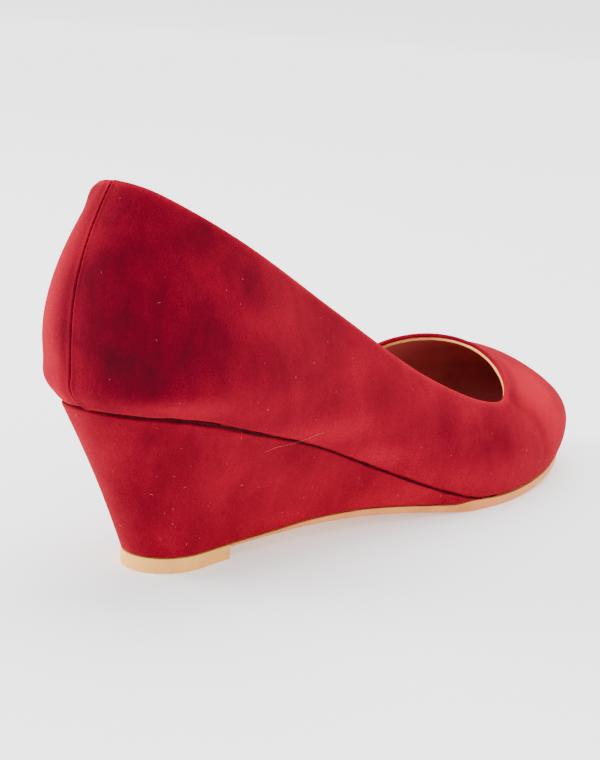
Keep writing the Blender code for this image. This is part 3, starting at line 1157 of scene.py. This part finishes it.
@dataclass
class Loft:
    """A closed body between a top and a bottom line on each side, with rounded edges."""

    name: str
    top: dict[Side, Array]
    bottom: dict[Side, Array]
    round_top: float
    round_bottom: float
    rows: int = 6
    corner_steps: int = 5
    bow: float = 0.0
    across: int = 10
    crown: float = 0.0
    most_round: float = 0.45
    sharp: float = 40.0

    def side_rows(self, side: Side) -> list[Array]:
        """Work out one side's rows, from the top face over two rounded edges to the bottom face.

        Each edge is a quadratic curve from the face, round the corner and on to the side.

        Args:
            side: The side of the body.

        Returns:
            The rows of points, first the top one.
        """
        top, bottom = self.top[side], self.bottom[side]
        outward = np.zeros_like(top)
        outward[:, :2] = Last.plan_normals(top, side)
        drop = bottom - top
        tall = np.linalg.norm(drop, axis=-1, keepdims=True)
        first = np.minimum(self.round_top, self.most_round * tall)
        last = np.minimum(self.round_bottom, self.most_round * tall)
        lean = (top - bottom)[:, 2:] / max((top - bottom)[0, 2], 1e-6)

        def corner(face: Array, edge: Array, wall: Array) -> list[Array]:
            """Return the rows round one edge: (1-w)^2 face + 2 w (1-w) edge + w^2 wall."""
            steps = np.linspace(0.0, 1.0, self.corner_steps)
            return [(1 - w) ** 2 * face + 2 * w * (1 - w) * edge + w**2 * wall for w in steps]

        def on_side(share: Array) -> Array:
            """Return the row at a share of the way down, drawn in by a sine where it bows."""
            return top + drop * share - outward * self.bow * lean * np.sin(math.pi * share)

        rows = corner(top - outward * first, top, on_side(first / tall))
        for share in np.linspace(0.0, 1.0, self.rows + 1)[1:-1]:
            rows.append(on_side(first / tall + (1 - (first + last) / tall) * share))
        rows += corner(bottom - outward * last, bottom, on_side(1 - last / tall))[::-1]
        return rows

    def build(self) -> bpy.types.Object:
        """Build the body: its side rows, and faces across its top and bottom.

        A face across is straight from side to side. The top one rises by crown times a squared sine.

        Returns:
            The piece.
        """
        outer = np.array(self.side_rows(Side.OUTER))
        inner = np.array(self.side_rows(Side.INNER))
        shares = np.linspace(0.0, 1.0, self.across + 1)[:, None, None]
        top, bottom = (outer[row] + (inner[row] - outer[row]) * shares for row in (0, -1))
        width = np.linalg.norm(inner[0] - outer[0], axis=-1)
        top[..., 2] += self.crown * np.sin(math.pi * shares[..., 0]) ** 2 * width / width.max()
        surface = Surface()
        for grid in (outer, inner, top, bottom):
            surface.add(grid)
        for end in (0, -1):
            surface.add(outer[:, end] + (inner[:, end] - outer[:, end]) * shares)
        return surface.build(self.name, sharp=self.sharp)


def spread(start: float, end: float, count: int, dense_start: bool = True, dense_end: bool = True) -> Array:
    """Return x values from start to end, closer together towards the rounded ends.

    Args:
        start: The first value.
        end: The last value.
        count: How many steps.
        dense_start: Whether the start is rounded.
        dense_end: Whether the end is rounded.

    Returns:
        The values, spread by a cosine.
    """
    t = np.linspace(0.0, 1.0, count + 1)
    if dense_start and dense_end:
        t = (1 - np.cos(math.pi * t)) / 2
    elif dense_start:
        t = 1 - np.cos(math.pi * t / 2)
    elif dense_end:
        t = np.sin(math.pi * t / 2)
    return start + (end - start) * t


@dataclass
class Bottom:
    """What the upper is lasted on and stands on: insole, covered wedge, outsole and heel tip."""

    last: Last = field(default_factory=Last)
    gap: float = 0.3
    wall: float = 1.8
    insole_thickness: float = 2.0
    board_rounds: Span = (0.5, 0.3)
    board_crown: float = 0.35
    board_across: int = 24
    filler_rounds: Span = (0.2, 0.2)
    wedge_front: float = 150.0
    meet_from: Span = (138.0, 151.5)
    thinnest: float = 0.12
    wedge_bow: float = 0.8
    wrap: Sections = Sections(
        ("x", "drop"),
        (
            (0.0, 0.15),
            (8.0, 0.40),
            (24.0, 0.62),
            (44.0, 0.36),
            (60.0, 0.10),
            (80.0, 0.12),
            (100.0, 0.34),
            (122.0, 0.34),
            (150.0, 0.05),
        ),
    )
    wrap_wave: float = 0.35
    wrap_waves: tuple[float, ...] = (19.0, 9.0, 4.5)
    wrap_seed: int = 11
    wedge_rounds: Span = (1.0, 0.6)
    wedge_rows: int = 36
    wedge_corner_steps: int = 8
    wedge_clear: float = 0.05
    # The dark strip that paints the shadow in the gap under the upper's edge.
    glue_inset: float = 0.8
    glue_over: float = 0.1
    glue_under: float = 0.15
    glue_thins: Span = (130.0, 152.0)
    glue_rounds: Span = (0.1, 0.1)
    glue_fade: Span = (156.0, 176.0)
    glue_hidden: float = 3.0
    glue_depth: float = 0.95
    glue_length: float = 236.0
    # Clouds of brushed nap that also paint light: the lighter low side of the wedge is painted bounce light
    # from the floor.
    nap_and_light_patches: tuple[NapAndLightPatch, ...] = (
        NapAndLightPatch((15.0, -9.0, 28.0), (10.0, 9.0, 13.0), -0.12),
        NapAndLightPatch((28.0, -13.0, 12.0), (12.0, 9.0, 7.0), 0.06),
        NapAndLightPatch((38.0, -18.0, 27.0), (10.0, 9.0, 7.0), 0.14),
        NapAndLightPatch((58.0, -18.0, 23.0), (8.0, 9.0, 5.0), 0.07),
        NapAndLightPatch((78.0, -21.0, 20.0), (14.0, 10.0, 5.0), 0.11),
        NapAndLightPatch((66.0, -20.0, 30.0), (10.0, 10.0, 4.0), -0.08),
        NapAndLightPatch((116.0, -27.0, 8.0), (24.0, 12.0, 6.0), 0.33),
        NapAndLightPatch((22.0, 14.0, 26.0), (9.0, 9.0, 9.0), -0.13),
        NapAndLightPatch((60.0, 20.0, 24.0), (12.0, 9.0, 7.0), 0.12),
        NapAndLightPatch((68.0, -16.0, 9.0), (11.0, 9.0, 4.0), 0.20),
        NapAndLightPatch((13.0, -16.0, 43.0), (14.0, 10.0, 7.0), -0.16),
    )
    tip_back: float = 23.0
    tip_front: float = 50.5
    tip_round: float = 15.0
    tip_thickness: float = 4.3
    tip_rounds: Span = (0.2, 0.5)
    tip_rows: int = 6
    sole_rounds: Span = (0.25, 0.5)
    sole_rows: int = 3
    plate_rows: int = 2
    columns: int = 150
    lint_count: int = 45
    lint_seeds: tuple[int, int] = (34, 35)
    sole: Sections = Sections(
        ("x", "share", "thickness", "underside"),
        (
            (50.0, 0.48, 0.8, 3.6),
            (66.0, 0.58, 1.0, 4.3),
            (80.0, 0.67, 1.6, 4.7),
            (100.0, 0.80, 2.1, 4.3),
            (112.0, 0.87, 2.2, 3.5),
            (125.0, 0.93, 2.2, 2.2),
            (137.0, 0.97, 2.4, 0.8),
            (147.0, 0.99, 2.5, 0.0),
            (165.0, 1.00, 2.5, 0.0),
            (180.0, 1.00, 2.5, 0.5),
            (194.0, 1.00, 2.5, 1.4),
            (218.0, 1.00, 2.5, 3.4),
            (242.0, 1.00, 2.5, 5.3),
        ),
    )
    faces: dict[Side, Array] = field(init=False)

    def sole_edge(self, side: Side, x: Array) -> Array:
        """Return y on the edge of the outsole and of the wedge's underside."""
        centre = self.last.centre(x)
        return centre + self.sole.read("share", x) * (self.last.outline(side, x) - centre)

    def waist_top(self, x: Array) -> Array:
        """Return the height of the outsole's upper face, which rises to meet the upper in front.

        Args:
            x: Stations along the shoe.

        Returns:
            z at each station.
        """
        flat = self.sole.read("underside", x) + self.sole.read("thickness", x)
        meet = self.last.height(x) - self.gap
        return flat + (meet - flat) * smooth_step(*self.meet_from, x)

    def tip_edge(self, side: Side, x: Array) -> Array:
        """Return y on the edge of the heel tip: an elliptic back and a straight front."""
        width = abs(self.sole_edge(side, np.array(self.tip_front)))
        return side.value * width * Last.end_round(x - self.tip_back, self.tip_round)

    def plate(self, side: Side, inset: float, lift: float) -> Array:
        """Return a line round the last, moved inwards and lifted off its bottom."""
        x = spread(inset, self.last.length - inset, self.columns)
        return stack(x, self.last.outline(side, x, inset), self.last.height(x) + lift)

    @staticmethod
    def over_edge(edge: Callable[[Side, Array], Array], x: Array, z: Array | float) -> dict[Side, Array]:
        """Return each side's line over an edge in plan, at the given height."""
        return {side: stack(x, edge(side, x), z) for side in Side}

    def build_insole(self) -> bpy.types.Object:
        """Build the insole's covered board, slightly crowned, on the lasting margin.

        Returns:
            The piece.
        """
        clear = self.wall + 2 * self.gap
        top = {side: self.plate(side, clear, clear + self.insole_thickness) for side in Side}
        bottom = {side: self.plate(side, clear, clear) for side in Side}
        return Loft("insole_sock", top, bottom, *self.board_rounds, rows=self.plate_rows,
                    across=self.board_across, crown=self.board_crown).build()

    def build_filler(self) -> bpy.types.Object:
        """Build the filler between the lasting margins, under the board.

        Returns:
            The piece.
        """
        inset = self.last.margin + 2 * self.gap
        lift = self.wall + 2 * self.gap - self.gap / 3
        top = {side: self.plate(side, inset, lift) for side in Side}
        bottom = {side: self.plate(side, inset, 0.0) for side in Side}
        return Loft("bottom_filler", top, bottom, *self.filler_rounds, rows=self.plate_rows).build()

    def build_wedge(self) -> bpy.types.Object:
        """Build the covered wedge, ruled from the feather line down to the tip and the outsole.

        Returns:
            The piece.
        """
        seat_x = spread(0.0, self.wedge_front, self.columns, dense_end=False)
        foot_x = self.tip_back + seat_x * (self.wedge_front - self.tip_back) / self.wedge_front
        over_tip = foot_x < self.tip_front
        over_sole = self.gap * (1 - smooth_step(*self.meet_from, foot_x)) + self.wedge_clear
        foot_z = np.where(over_tip, self.tip_thickness + self.gap, self.waist_top(foot_x) + over_sole)
        wave = self.wrap_wave * ripple(seat_x, self.wrap_waves, self.wrap_seed)
        seat_z = self.last.height(seat_x) - self.gap - self.wrap.read("drop", seat_x) * (1 + wave)
        top = self.over_edge(self.last.outline, seat_x, np.maximum(seat_z, foot_z + self.thinnest))
        bottom = {}
        for side in Side:
            y = np.where(over_tip, self.tip_edge(side, foot_x), self.sole_edge(side, foot_x))
            bottom[side] = stack(foot_x, y, foot_z)
        loft = Loft("wedge_cover", top, bottom, *self.wedge_rounds, rows=self.wedge_rows,
                    corner_steps=self.wedge_corner_steps, bow=self.wedge_bow)
        between = slice(self.wedge_corner_steps, -self.wedge_corner_steps)
        self.faces = {side: np.array(loft.side_rows(side))[between] for side in Side}
        return loft.build()

    def build_glue(self) -> bpy.types.Object:
        """Build a dark strip deep in the gap that paints the shadow there, which fades out under the toe.

        Returns:
            The piece.
        """
        x = spread(self.glue_inset, self.glue_length, self.columns)
        centre = self.last.centre(x)
        hidden = self.glue_hidden * smooth_step(*self.glue_fade, x)
        depth = self.glue_depth * (1 - smooth_step(*self.glue_thins, x))
        top, bottom = {}, {}
        for side in Side:
            y = self.last.outline(side, x, self.glue_inset) - centre
            y = centre + y * (1 - hidden / np.maximum(np.abs(y), 2 * self.glue_hidden))
            top[side] = stack(x, y, self.last.height(x) + self.glue_over)
            bottom[side] = stack(x, y, self.last.height(x) - depth - self.glue_under)
        return Loft("gap_shadow_strip", top, bottom, *self.glue_rounds, rows=self.plate_rows).build()

    def build_outsole(self) -> bpy.types.Object:
        """Build the outsole: a thin sheet from the heel tip under the waist to the toe.

        Returns:
            The piece.
        """
        step = self.wedge_front + self.gap
        waist_x = spread(self.tip_front + self.gap, step, self.columns // 2, False, False)
        front_x = spread(step, self.last.length, self.columns, dense_start=False)
        x = np.concatenate([waist_x, front_x[1:]])
        top_z = np.where(x < self.meet_from[1], self.waist_top(x), self.last.height(x) - self.gap)
        top = self.over_edge(self.sole_edge, x, top_z)
        bottom = self.over_edge(self.sole_edge, x, self.sole.read("underside", x))
        return Loft("outsole_sheet", top, bottom, *self.sole_rounds, rows=self.sole_rows).build()

    def build_tip(self) -> bpy.types.Object:
        """Build the heel tip that the shoe stands on.

        Returns:
            The piece.
        """
        x = spread(self.tip_back, self.tip_front, self.columns // 2, dense_end=False)
        top = self.over_edge(self.tip_edge, x, self.tip_thickness)
        bottom = self.over_edge(self.tip_edge, x, 0.0)
        return Loft("heel_tip_block", top, bottom, *self.tip_rounds, rows=self.tip_rows).build()

    def build(self, finishes: "Finishes") -> None:
        """Build and dress the pieces under the foot.

        Args:
            finishes: The materials.
        """
        place(self.build_insole(), Slot.LINING, finishes.sock, "insole")
        place(self.build_filler(), Slot.LINING, finishes.sock)
        wedge = place(self.build_wedge(), Slot.COVER, finishes.cover, "wedge")
        points = own_points(wedge)
        # The wedge's stored shade is partly brushed nap, partly painted light.
        store_nap_and_light(wedge, PLAIN_NAP + np.sum([patch.shade(points) for patch in self.nap_and_light_patches], axis=0))
        for side, seed in zip(Side, self.lint_seeds):
            rows = self.faces[side]
            normals = side.value * unit(np.cross(np.gradient(rows, axis=1), np.gradient(rows, axis=0)))
            lint = Lint(f"wedge_lint_{side.column}", self.lint_count, seed)
            place(lint.build(rows, normals), Slot.COVER, finishes.fibre)
        # A dark strip of painted shadow in the gap under the upper's edge.
        place(self.build_glue(), Slot.COVER, finishes.glue)
        place(self.build_outsole(), Slot.SOLE, finishes.outsole, "outsole")
        place(self.build_tip(), Slot.TIP, finishes.tip, "heel_tip")


@dataclass(frozen=True)
class Grain:
    """A layer of noise on a piece's own coordinates, with features of 1 / scale metres."""

    scale: float
    detail: float = 2.0
    roughness: float = 0.5
    distortion: float = 0.0
    stretch: Point = (1.0, 1.0, 1.0)


class Graph:
    """A material's node tree, with short ways to add and join nodes."""

    def __init__(self, name: str) -> None:
        """Start a material with one Principled shader.

        Args:
            name: The material's name.
        """
        self.material = bpy.data.materials.new(name)
        self.material.use_nodes = True
        self.tree = self.material.node_tree
        self.shader = self.tree.nodes["Principled BSDF"]

    def add(self, kind: str, **settings: object) -> bpy.types.Node:
        """Add a node and set its options.

        Args:
            kind: The node's type.
            **settings: Its options by name.

        Returns:
            The new node.
        """
        node = self.tree.nodes.new(kind)
        for key, value in settings.items():
            setattr(node, key, value)
        return node

    def fill(self, node: bpy.types.Node, values: dict[int | str, object]) -> None:
        """Give a node's inputs their values, each a socket to join, a colour or a number.

        Args:
            node: The node.
            values: The values by the input's name or number.
        """
        for key, value in values.items():
            if isinstance(value, Socket):
                self.tree.links.new(value, node.inputs[key])
            elif node.inputs[key].type == "RGBA":
                node.inputs[key].default_value = (*value, 1.0)
            else:
                node.inputs[key].default_value = value

    def shade(self, **values: object) -> None:
        """Fill the shader's own inputs, with underscores for spaces in their names."""
        self.fill(self.shader, {key.replace("_", " "): value for key, value in values.items()})

    def own(self, stretch: Point = (1.0, 1.0, 1.0)) -> Socket:
        """Return the piece's own coordinates in metres.

        Args:
            stretch: A scale along each axis.

        Returns:
            The coordinates.
        """
        mapping = self.add("ShaderNodeMapping")
        self.fill(mapping, {"Vector": self.add("ShaderNodeTexCoord").outputs["Object"], "Scale": stretch})
        return mapping.outputs["Vector"]

    def noise(self, grain: Grain) -> Socket:
        """Return a layer of noise, a value around one half.

        Args:
            grain: The layer's scale, detail, roughness, distortion and stretch.

        Returns:
            The value.
        """
        node = self.add("ShaderNodeTexNoise")
        self.fill(node, {"Vector": self.own(grain.stretch), "Scale": grain.scale, "Detail": grain.detail,
                         "Roughness": grain.roughness, "Distortion": grain.distortion})
        return node.outputs["Fac"]

    def carry(self, value: Socket, span: Span = MIDDLE, to: Span = (0.0, 1.0)) -> Socket:
        """Carry a value from one range to another, by an S-shaped curve.

        Args:
            value: The value.
            span: The range that it comes from.
            to: The range that it goes to.

        Returns:
            The new value.
        """
        node = self.add("ShaderNodeMapRange", interpolation_type="SMOOTHSTEP")
        self.fill(node, {"Value": value, "From Min": span[0], "From Max": span[1],
                         "To Min": to[0], "To Max": to[1]})
        return node.outputs["Result"]

    def total(self, *values: Socket) -> Socket:
        """Return the sum of some values.

        Args:
            *values: The values.

        Returns:
            Their sum.
        """
        result = values[0]
        for value in values[1:]:
            node = self.add("ShaderNodeMath", operation="ADD")
            self.fill(node, {0: result, 1: value})
            result = node.outputs["Value"]
        return result

    def scaled(self, colour: Socket, by: Socket) -> Socket:
        """Return a colour times a value.

        Args:
            colour: The colour.
            by: The value.

        Returns:
            The product.
        """
        node = self.add("ShaderNodeVectorMath", operation="SCALE")
        self.fill(node, {"Vector": colour, "Scale": by})
        return node.outputs["Vector"]

    def mix(self, share: Socket, first: Socket | Colour, second: Socket | Colour) -> Socket:
        """Mix two colours.

        Args:
            share: How much of the second there is.
            first: The colour at share 0.
            second: The colour at share 1.

        Returns:
            The mixed colour.
        """
        node = self.add("ShaderNodeMix", data_type="RGBA")
        self.fill(node, {"Factor": share, 6: first, 7: second})
        return node.outputs[2]

    def bump(self, height: Socket, strength: float, distance: float) -> None:
        """Add a bump to the shader's normal, over any bump that is there.

        Args:
            height: The height, from 0 to 1.
            strength: The bump's strength.
            distance: What a height of 1 stands for, in metres.
        """
        node = self.add("ShaderNodeBump")
        self.fill(node, {"Strength": strength, "Distance": distance, "Height": height})
        if self.shader.inputs["Normal"].is_linked:
            self.fill(node, {"Normal": self.shader.inputs["Normal"].links[0].from_socket})
        self.shade(Normal=node.outputs["Normal"])


@dataclass(frozen=True)
class Velour:
    """Napped faux suede: mottled where the nap is brushed and where light and shade are painted, with a
    bright rim at grazing angles.
    """

    name: str
    dark: Colour = (0.050, 0.0008, 0.0055)
    light: Colour = (0.360, 0.0022, 0.0190)
    specular: float = 0.05
    sheen: float = 0.45
    sheen_tint: Colour = (1.0, 0.022, 0.045)
    sheen_roughness: float = 0.32
    clouds: Grain = Grain(38.0, 3.0, 0.55, 0.4)
    cloud_span: Span = (0.25, 0.75)
    cloud_shade: Span = (-0.11, 0.11)
    strokes: Grain = Grain(150.0, 3.0, 0.6, 0.5, (1.0, 1.0, 0.35))
    stroke_shade: Span = (-0.045, 0.045)
    nap: Grain = Grain(2500.0, 2.0, 0.7, stretch=(1.0, 1.0, 0.6))
    nap_shade: Span = (0.84, 1.16)
    nap_bump: Span = (0.5, 0.0003)
    specks: Grain = Grain(5200.0, 1.0)
    speck_shade: Span = (-0.15, 0.15)
    speck_bump: Span = (0.4, 0.00014)

    def material(self) -> bpy.types.Material:
        """Return the velour: brushed clouds, brush strokes and a fine nap in colour and bump.

        The stored shade of brushed nap and painted light and shade, with the clouds and strokes, mixes dark
        with light, and the nap and its specks scale the mix.

        Returns:
            The material.
        """
        graph = Graph(self.name)
        # The stored shade: brushed nap together with painted light and shade.
        brushed_and_lit = graph.add("ShaderNodeAttribute", attribute_type="GEOMETRY", attribute_name=NAP_AND_LIGHT)
        clouds = graph.carry(graph.noise(self.clouds), self.cloud_span, self.cloud_shade)
        strokes = graph.carry(graph.noise(self.strokes), to=self.stroke_shade)
        nap = graph.noise(self.nap)
        specks = graph.noise(self.specks)
        share = graph.total(brushed_and_lit.outputs["Fac"], clouds, strokes)
        grain = graph.total(graph.carry(nap, to=self.nap_shade), graph.carry(specks, to=self.speck_shade))
        graph.shade(
            Base_Color=graph.scaled(graph.mix(share, self.dark, self.light), grain),
            Roughness=1.0,
            Specular_IOR_Level=self.specular,
            Sheen_Weight=self.sheen,
            Sheen_Roughness=self.sheen_roughness,
            Sheen_Tint=self.sheen_tint,
        )
        graph.bump(nap, *self.nap_bump)
        graph.bump(specks, *self.speck_bump)
        return graph.material


@dataclass(frozen=True)
class Leather:
    """Smooth lining leather with a fine grain."""

    name: str
    dark: Colour = (0.42, 0.090, 0.090)
    light: Colour = (0.56, 0.140, 0.135)
    specular: float = 0.22
    roughness: Span = (0.42, 0.6)
    clouds: Grain = Grain(45.0, 3.0)
    cloud_span: Span = (0.35, 0.65)
    grain_scale: float = 900.0
    grain_edge: float = 0.25
    grain_shade: Span = (0.25, 0.0)
    grain_bump: Span = (0.35, 0.0001)

    def material(self) -> bpy.types.Material:
        """Return the leather: cloudy colour, cell-like grain and a broken gloss.

        Returns:
            The material.
        """
        graph = Graph(self.name)
        clouds = graph.noise(self.clouds)
        cells = graph.add("ShaderNodeTexVoronoi", feature="DISTANCE_TO_EDGE")
        graph.fill(cells, {"Vector": graph.own(), "Scale": self.grain_scale})
        grain = graph.carry(cells.outputs["Distance"], (0.0, self.grain_edge))
        colour = graph.mix(graph.carry(clouds, self.cloud_span), self.dark, self.light)
        graph.shade(
            Base_Color=graph.mix(graph.carry(grain, (0.0, 1.0), self.grain_shade), colour, self.dark),
            Roughness=graph.carry(clouds, to=self.roughness),
            Specular_IOR_Level=self.specular,
        )
        graph.bump(grain, *self.grain_bump)
        return graph.material


@dataclass(frozen=True)
class SoleRubber:
    """Pale sole rubber or cut edge: a fine tooth, faint cloudiness and a satin surface."""

    name: str
    base: Colour
    dark: Colour
    roughness: Span
    specular: float = 0.15
    clouds: Grain = Grain(90.0, 4.0, 0.6)
    cloud_span: Span = (0.35, 0.68)
    tooth: Grain = Grain(1300.0, 2.0, 0.6)
    tooth_bump: Span = (0.3, 0.00012)
    scuffs: Grain = Grain(420.0, 3.0, 0.7, stretch=(0.25, 1.0, 1.0))
    scuff_span: Span = (0.62, 0.8)
    scuff_shade: Span = (0.0, 0.35)

    def material(self) -> bpy.types.Material:
        """Return the rubber: cloudy colour, fine tooth and light scuffs.

        Returns:
            The material.
        """
        graph = Graph(self.name)
        tooth = graph.noise(self.tooth)
        scuffs = graph.carry(graph.noise(self.scuffs), self.scuff_span, self.scuff_shade)
        colour = graph.mix(graph.carry(graph.noise(self.clouds), self.cloud_span), self.base, self.dark)
        graph.shade(
            Base_Color=graph.mix(scuffs, colour, self.dark),
            Roughness=graph.carry(tooth, to=self.roughness),
            Specular_IOR_Level=self.specular,
        )
        graph.bump(tooth, *self.tooth_bump)
        return graph.material


@dataclass(frozen=True)
class Thread:
    """Spun sewing thread, loose fibre, or the dark strip of painted shadow in the gap."""

    name: str
    base: Colour
    dark: Colour
    specular: float = 0.2
    roughness: float = 0.8
    twist: Grain = Grain(4200.0, stretch=(1.0, 1.0, 0.4))
    twist_span: Span = (0.35, 0.65)
    twist_bump: Span = (0.3, 0.0001)

    def material(self) -> bpy.types.Material:
        """Return the thread: a fine twist in colour and bump.

        Returns:
            The material.
        """
        graph = Graph(self.name)
        twist = graph.noise(self.twist)
        colour = graph.mix(graph.carry(twist, self.twist_span), self.base, self.dark)
        graph.shade(Base_Color=colour, Roughness=self.roughness, Specular_IOR_Level=self.specular)
        graph.bump(twist, *self.twist_bump)
        return graph.material


class Finishes:
    """All the shoe's materials."""

    def __init__(self) -> None:
        """Make each material once."""
        finishes = (
            Velour("red_velour"),
            Velour("wedge_velour", dark=(0.070, 0.0010, 0.0055)),
            Leather("red_brown_lining"),
            Leather("red_brown_sock", dark=(0.30, 0.058, 0.056), light=(0.42, 0.090, 0.084)),
            SoleRubber("pale_cut_edge", (0.92, 0.45, 0.120), (0.80, 0.34, 0.085), (0.62, 0.80)),
            SoleRubber("tan_outsole", (0.68, 0.245, 0.068), (0.56, 0.190, 0.050), (0.42, 0.60)),
            SoleRubber("beige_tip", (0.79, 0.39, 0.095), (0.69, 0.33, 0.075), (0.42, 0.60)),
            Thread("seam_thread", (0.030, 0.001, 0.003), (0.015, 0.001, 0.002), 0.02),
            # The colour of the painted shadow in the gap.
            Thread("painted_gap_shadow", (0.050, 0.004, 0.008), (0.016, 0.001, 0.003), 0.02),
            Thread("pale_fibre", (0.54, 0.21, 0.21), (0.42, 0.13, 0.13)),
        )
        (self.velour, self.cover, self.lining, self.sock, self.cut_edge, self.outsole, self.tip,
         self.thread, self.glue, self.fibre) = (finish.material() for finish in finishes)


@dataclass
class Studio:
    """A plain pale floor, soft light and a camera at the photograph's angle."""

    azimuth: float = 36.776
    elevation: float = 12.616
    roll: float = 3.974
    distance: float = 511.784
    focal_pixels: float = 1660.219
    shift_right: float = 9.485
    shift_up: float = 7.97
    target: Point = (108.9, 0.0, 50.0)
    sensor: float = 36.0
    clip: Span = (0.01, 200.0)
    floor_half: float = 9.0
    cove: float = 3.0
    wall_height: float = 4.0
    cove_steps: int = 12
    flat_steps: int = 6
    round_steps: int = 96
    floor_dark: Colour = (0.93, 0.93, 0.93)
    floor_light: Colour = (0.95, 0.95, 0.95)
    floor_grain: Grain = Grain(300.0)
    floor_roughness: float = 0.9
    floor_specular: float = 0.1
    floor_glow: float = 0.45
    surround: float = 1.5
    sun: Point = (0.42, 0.20, 0.87)
    sun_strength: float = 4.1
    sun_width: float = 60.0
    rim: Point = (-0.7, 1.2, 0.45)
    rim_aim: Point = (0.08, 0.0, 0.05)
    rim_watts: float = 40.0
    rim_size: float = 0.9

    def axes(self) -> tuple[Array, Array, Array]:
        """Return the camera's forward, right and up directions, rolled about its view.

        Returns:
            Three directions of length one, from the azimuth, elevation and roll.
        """
        a, e, r = (math.radians(v) for v in (self.azimuth, self.elevation, self.roll))
        forward = np.array([math.cos(e) * math.cos(a), math.cos(e) * math.sin(a), -math.sin(e)])
        level = np.array([math.sin(a), -math.cos(a), 0.0])
        over = np.cross(level, forward)
        right = math.cos(r) * level + math.sin(r) * over
        return forward, right, math.cos(r) * over - math.sin(r) * level

    def build_camera(self) -> None:
        """Place the camera that took the photograph."""
        forward, right, up = self.axes()
        place_at = np.array(self.target) - self.distance * forward
        place_at = (place_at - self.shift_right * right - self.shift_up * up - ORIGIN) * MM
        data = bpy.data.cameras.new("photo_camera")
        data.sensor_fit = "HORIZONTAL"
        data.sensor_width = self.sensor
        data.lens = self.focal_pixels / IMAGE_WIDTH * self.sensor
        data.clip_start, data.clip_end = self.clip
        camera = bpy.data.objects.new("photo_camera", data)
        bpy.context.scene.collection.objects.link(camera)
        rows = np.column_stack([right, up, -forward, place_at])
        camera.matrix_world = Matrix([*rows.tolist(), [0.0, 0.0, 0.0, 1.0]])
        bpy.context.scene.camera = camera

    def build_floor(self) -> None:
        """Build the pale floor that the shoe stands on, which curves up into a backdrop far away.

        The profile is a flat radius, a quarter circle and an upright wall, turned once round.
        """
        turn = np.linspace(0.0, math.pi / 2, self.cove_steps)
        flat = np.linspace(0.0, self.floor_half, self.flat_steps + 1)[1:-1]
        bend = self.floor_half + self.cove * np.sin(turn)
        reach = np.concatenate([flat, bend, [self.floor_half + self.cove]])
        rise = self.cove * (1 - np.cos(turn))
        height = np.concatenate([np.zeros(len(flat)), rise, [self.wall_height]])
        angle = np.linspace(0.0, 2 * math.pi, self.round_steps, endpoint=False)
        rings = stack(reach[:, None] * np.cos(angle), reach[:, None] * np.sin(angle), height[:, None])
        points = np.concatenate([rings.reshape(-1, 3), np.zeros((1, 3))])
        faces = grid_quads(*rings.shape[:2], wrap=True, flip=True).tolist()
        hub = len(points) - 1
        faces += [(hub, column, (column + 1) % self.round_steps) for column in range(self.round_steps)]
        mesh = bpy.data.meshes.new("floor")
        mesh.from_pydata(points.tolist(), [], faces)
        mesh.shade_smooth()
        floor = bpy.data.objects.new("floor", mesh)
        bpy.context.scene.collection.objects.link(floor)
        graph = Graph("pale_floor")
        colour = graph.mix(graph.carry(graph.noise(self.floor_grain)), self.floor_dark, self.floor_light)
        graph.shade(
            Base_Color=colour,
            Roughness=self.floor_roughness,
            Specular_IOR_Level=self.floor_specular,
            Emission_Color=(1.0, 1.0, 1.0),
            Emission_Strength=self.floor_glow,
        )
        mesh.materials.append(graph.material)

    @staticmethod
    def add_light(data: bpy.types.Light, place_at: Array, back: Array) -> None:
        """Add a light to the scene.

        Args:
            data: Its kind, power and size.
            place_at: Its place in metres.
            back: The direction that it shines away from, at length one.
        """
        light = bpy.data.objects.new(data.name, data)
        bpy.context.scene.collection.objects.link(light)
        right = unit(np.cross((0.0, 0.0, 1.0), back))
        rows = np.column_stack([right, np.cross(back, right), back, place_at])
        light.matrix_world = Matrix([*rows.tolist(), [0.0, 0.0, 0.0, 1.0]])

    def add_rim(self) -> None:
        """Add the square soft light behind the heel's far side, which looks at the shoe."""
        data = bpy.data.lights.new("rim_left", "AREA")
        data.energy = self.rim_watts
        data.size = self.rim_size
        place_at = np.array(self.rim)
        self.add_light(data, place_at, unit(place_at - np.array(self.rim_aim)))

    def add_sun(self) -> None:
        """Add the wide main light, from over the toe's far side."""
        data = bpy.data.lights.new("main_soft", "SUN")
        data.energy = self.sun_strength
        data.angle = math.radians(self.sun_width)
        back = unit(np.array(self.sun))
        self.add_light(data, back, back)

    def build_lights(self) -> None:
        """Light the shoe from all round, from over the toe and from the heel's far side."""
        world = bpy.data.worlds.new("pale_surround")
        world.use_nodes = True
        background = world.node_tree.nodes["Background"]
        background.inputs["Color"].default_value = (1.0, 1.0, 1.0, 1.0)
        background.inputs["Strength"].default_value = self.surround
        bpy.context.scene.world = world
        self.add_sun()
        self.add_rim()

    def build(self) -> None:
        """Build the camera, the floor and the lights."""
        self.build_camera()
        self.build_floor()
        self.build_lights()


def main() -> None:
    """Build the shoe, set it on its floor and light it."""
    logging.basicConfig(level=logging.INFO, format="%(message)s")
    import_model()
    finishes = Finishes()
    Upper().build(finishes)
    Bottom().build(finishes)
    Studio().build()


if __name__ == "__main__":
    main()
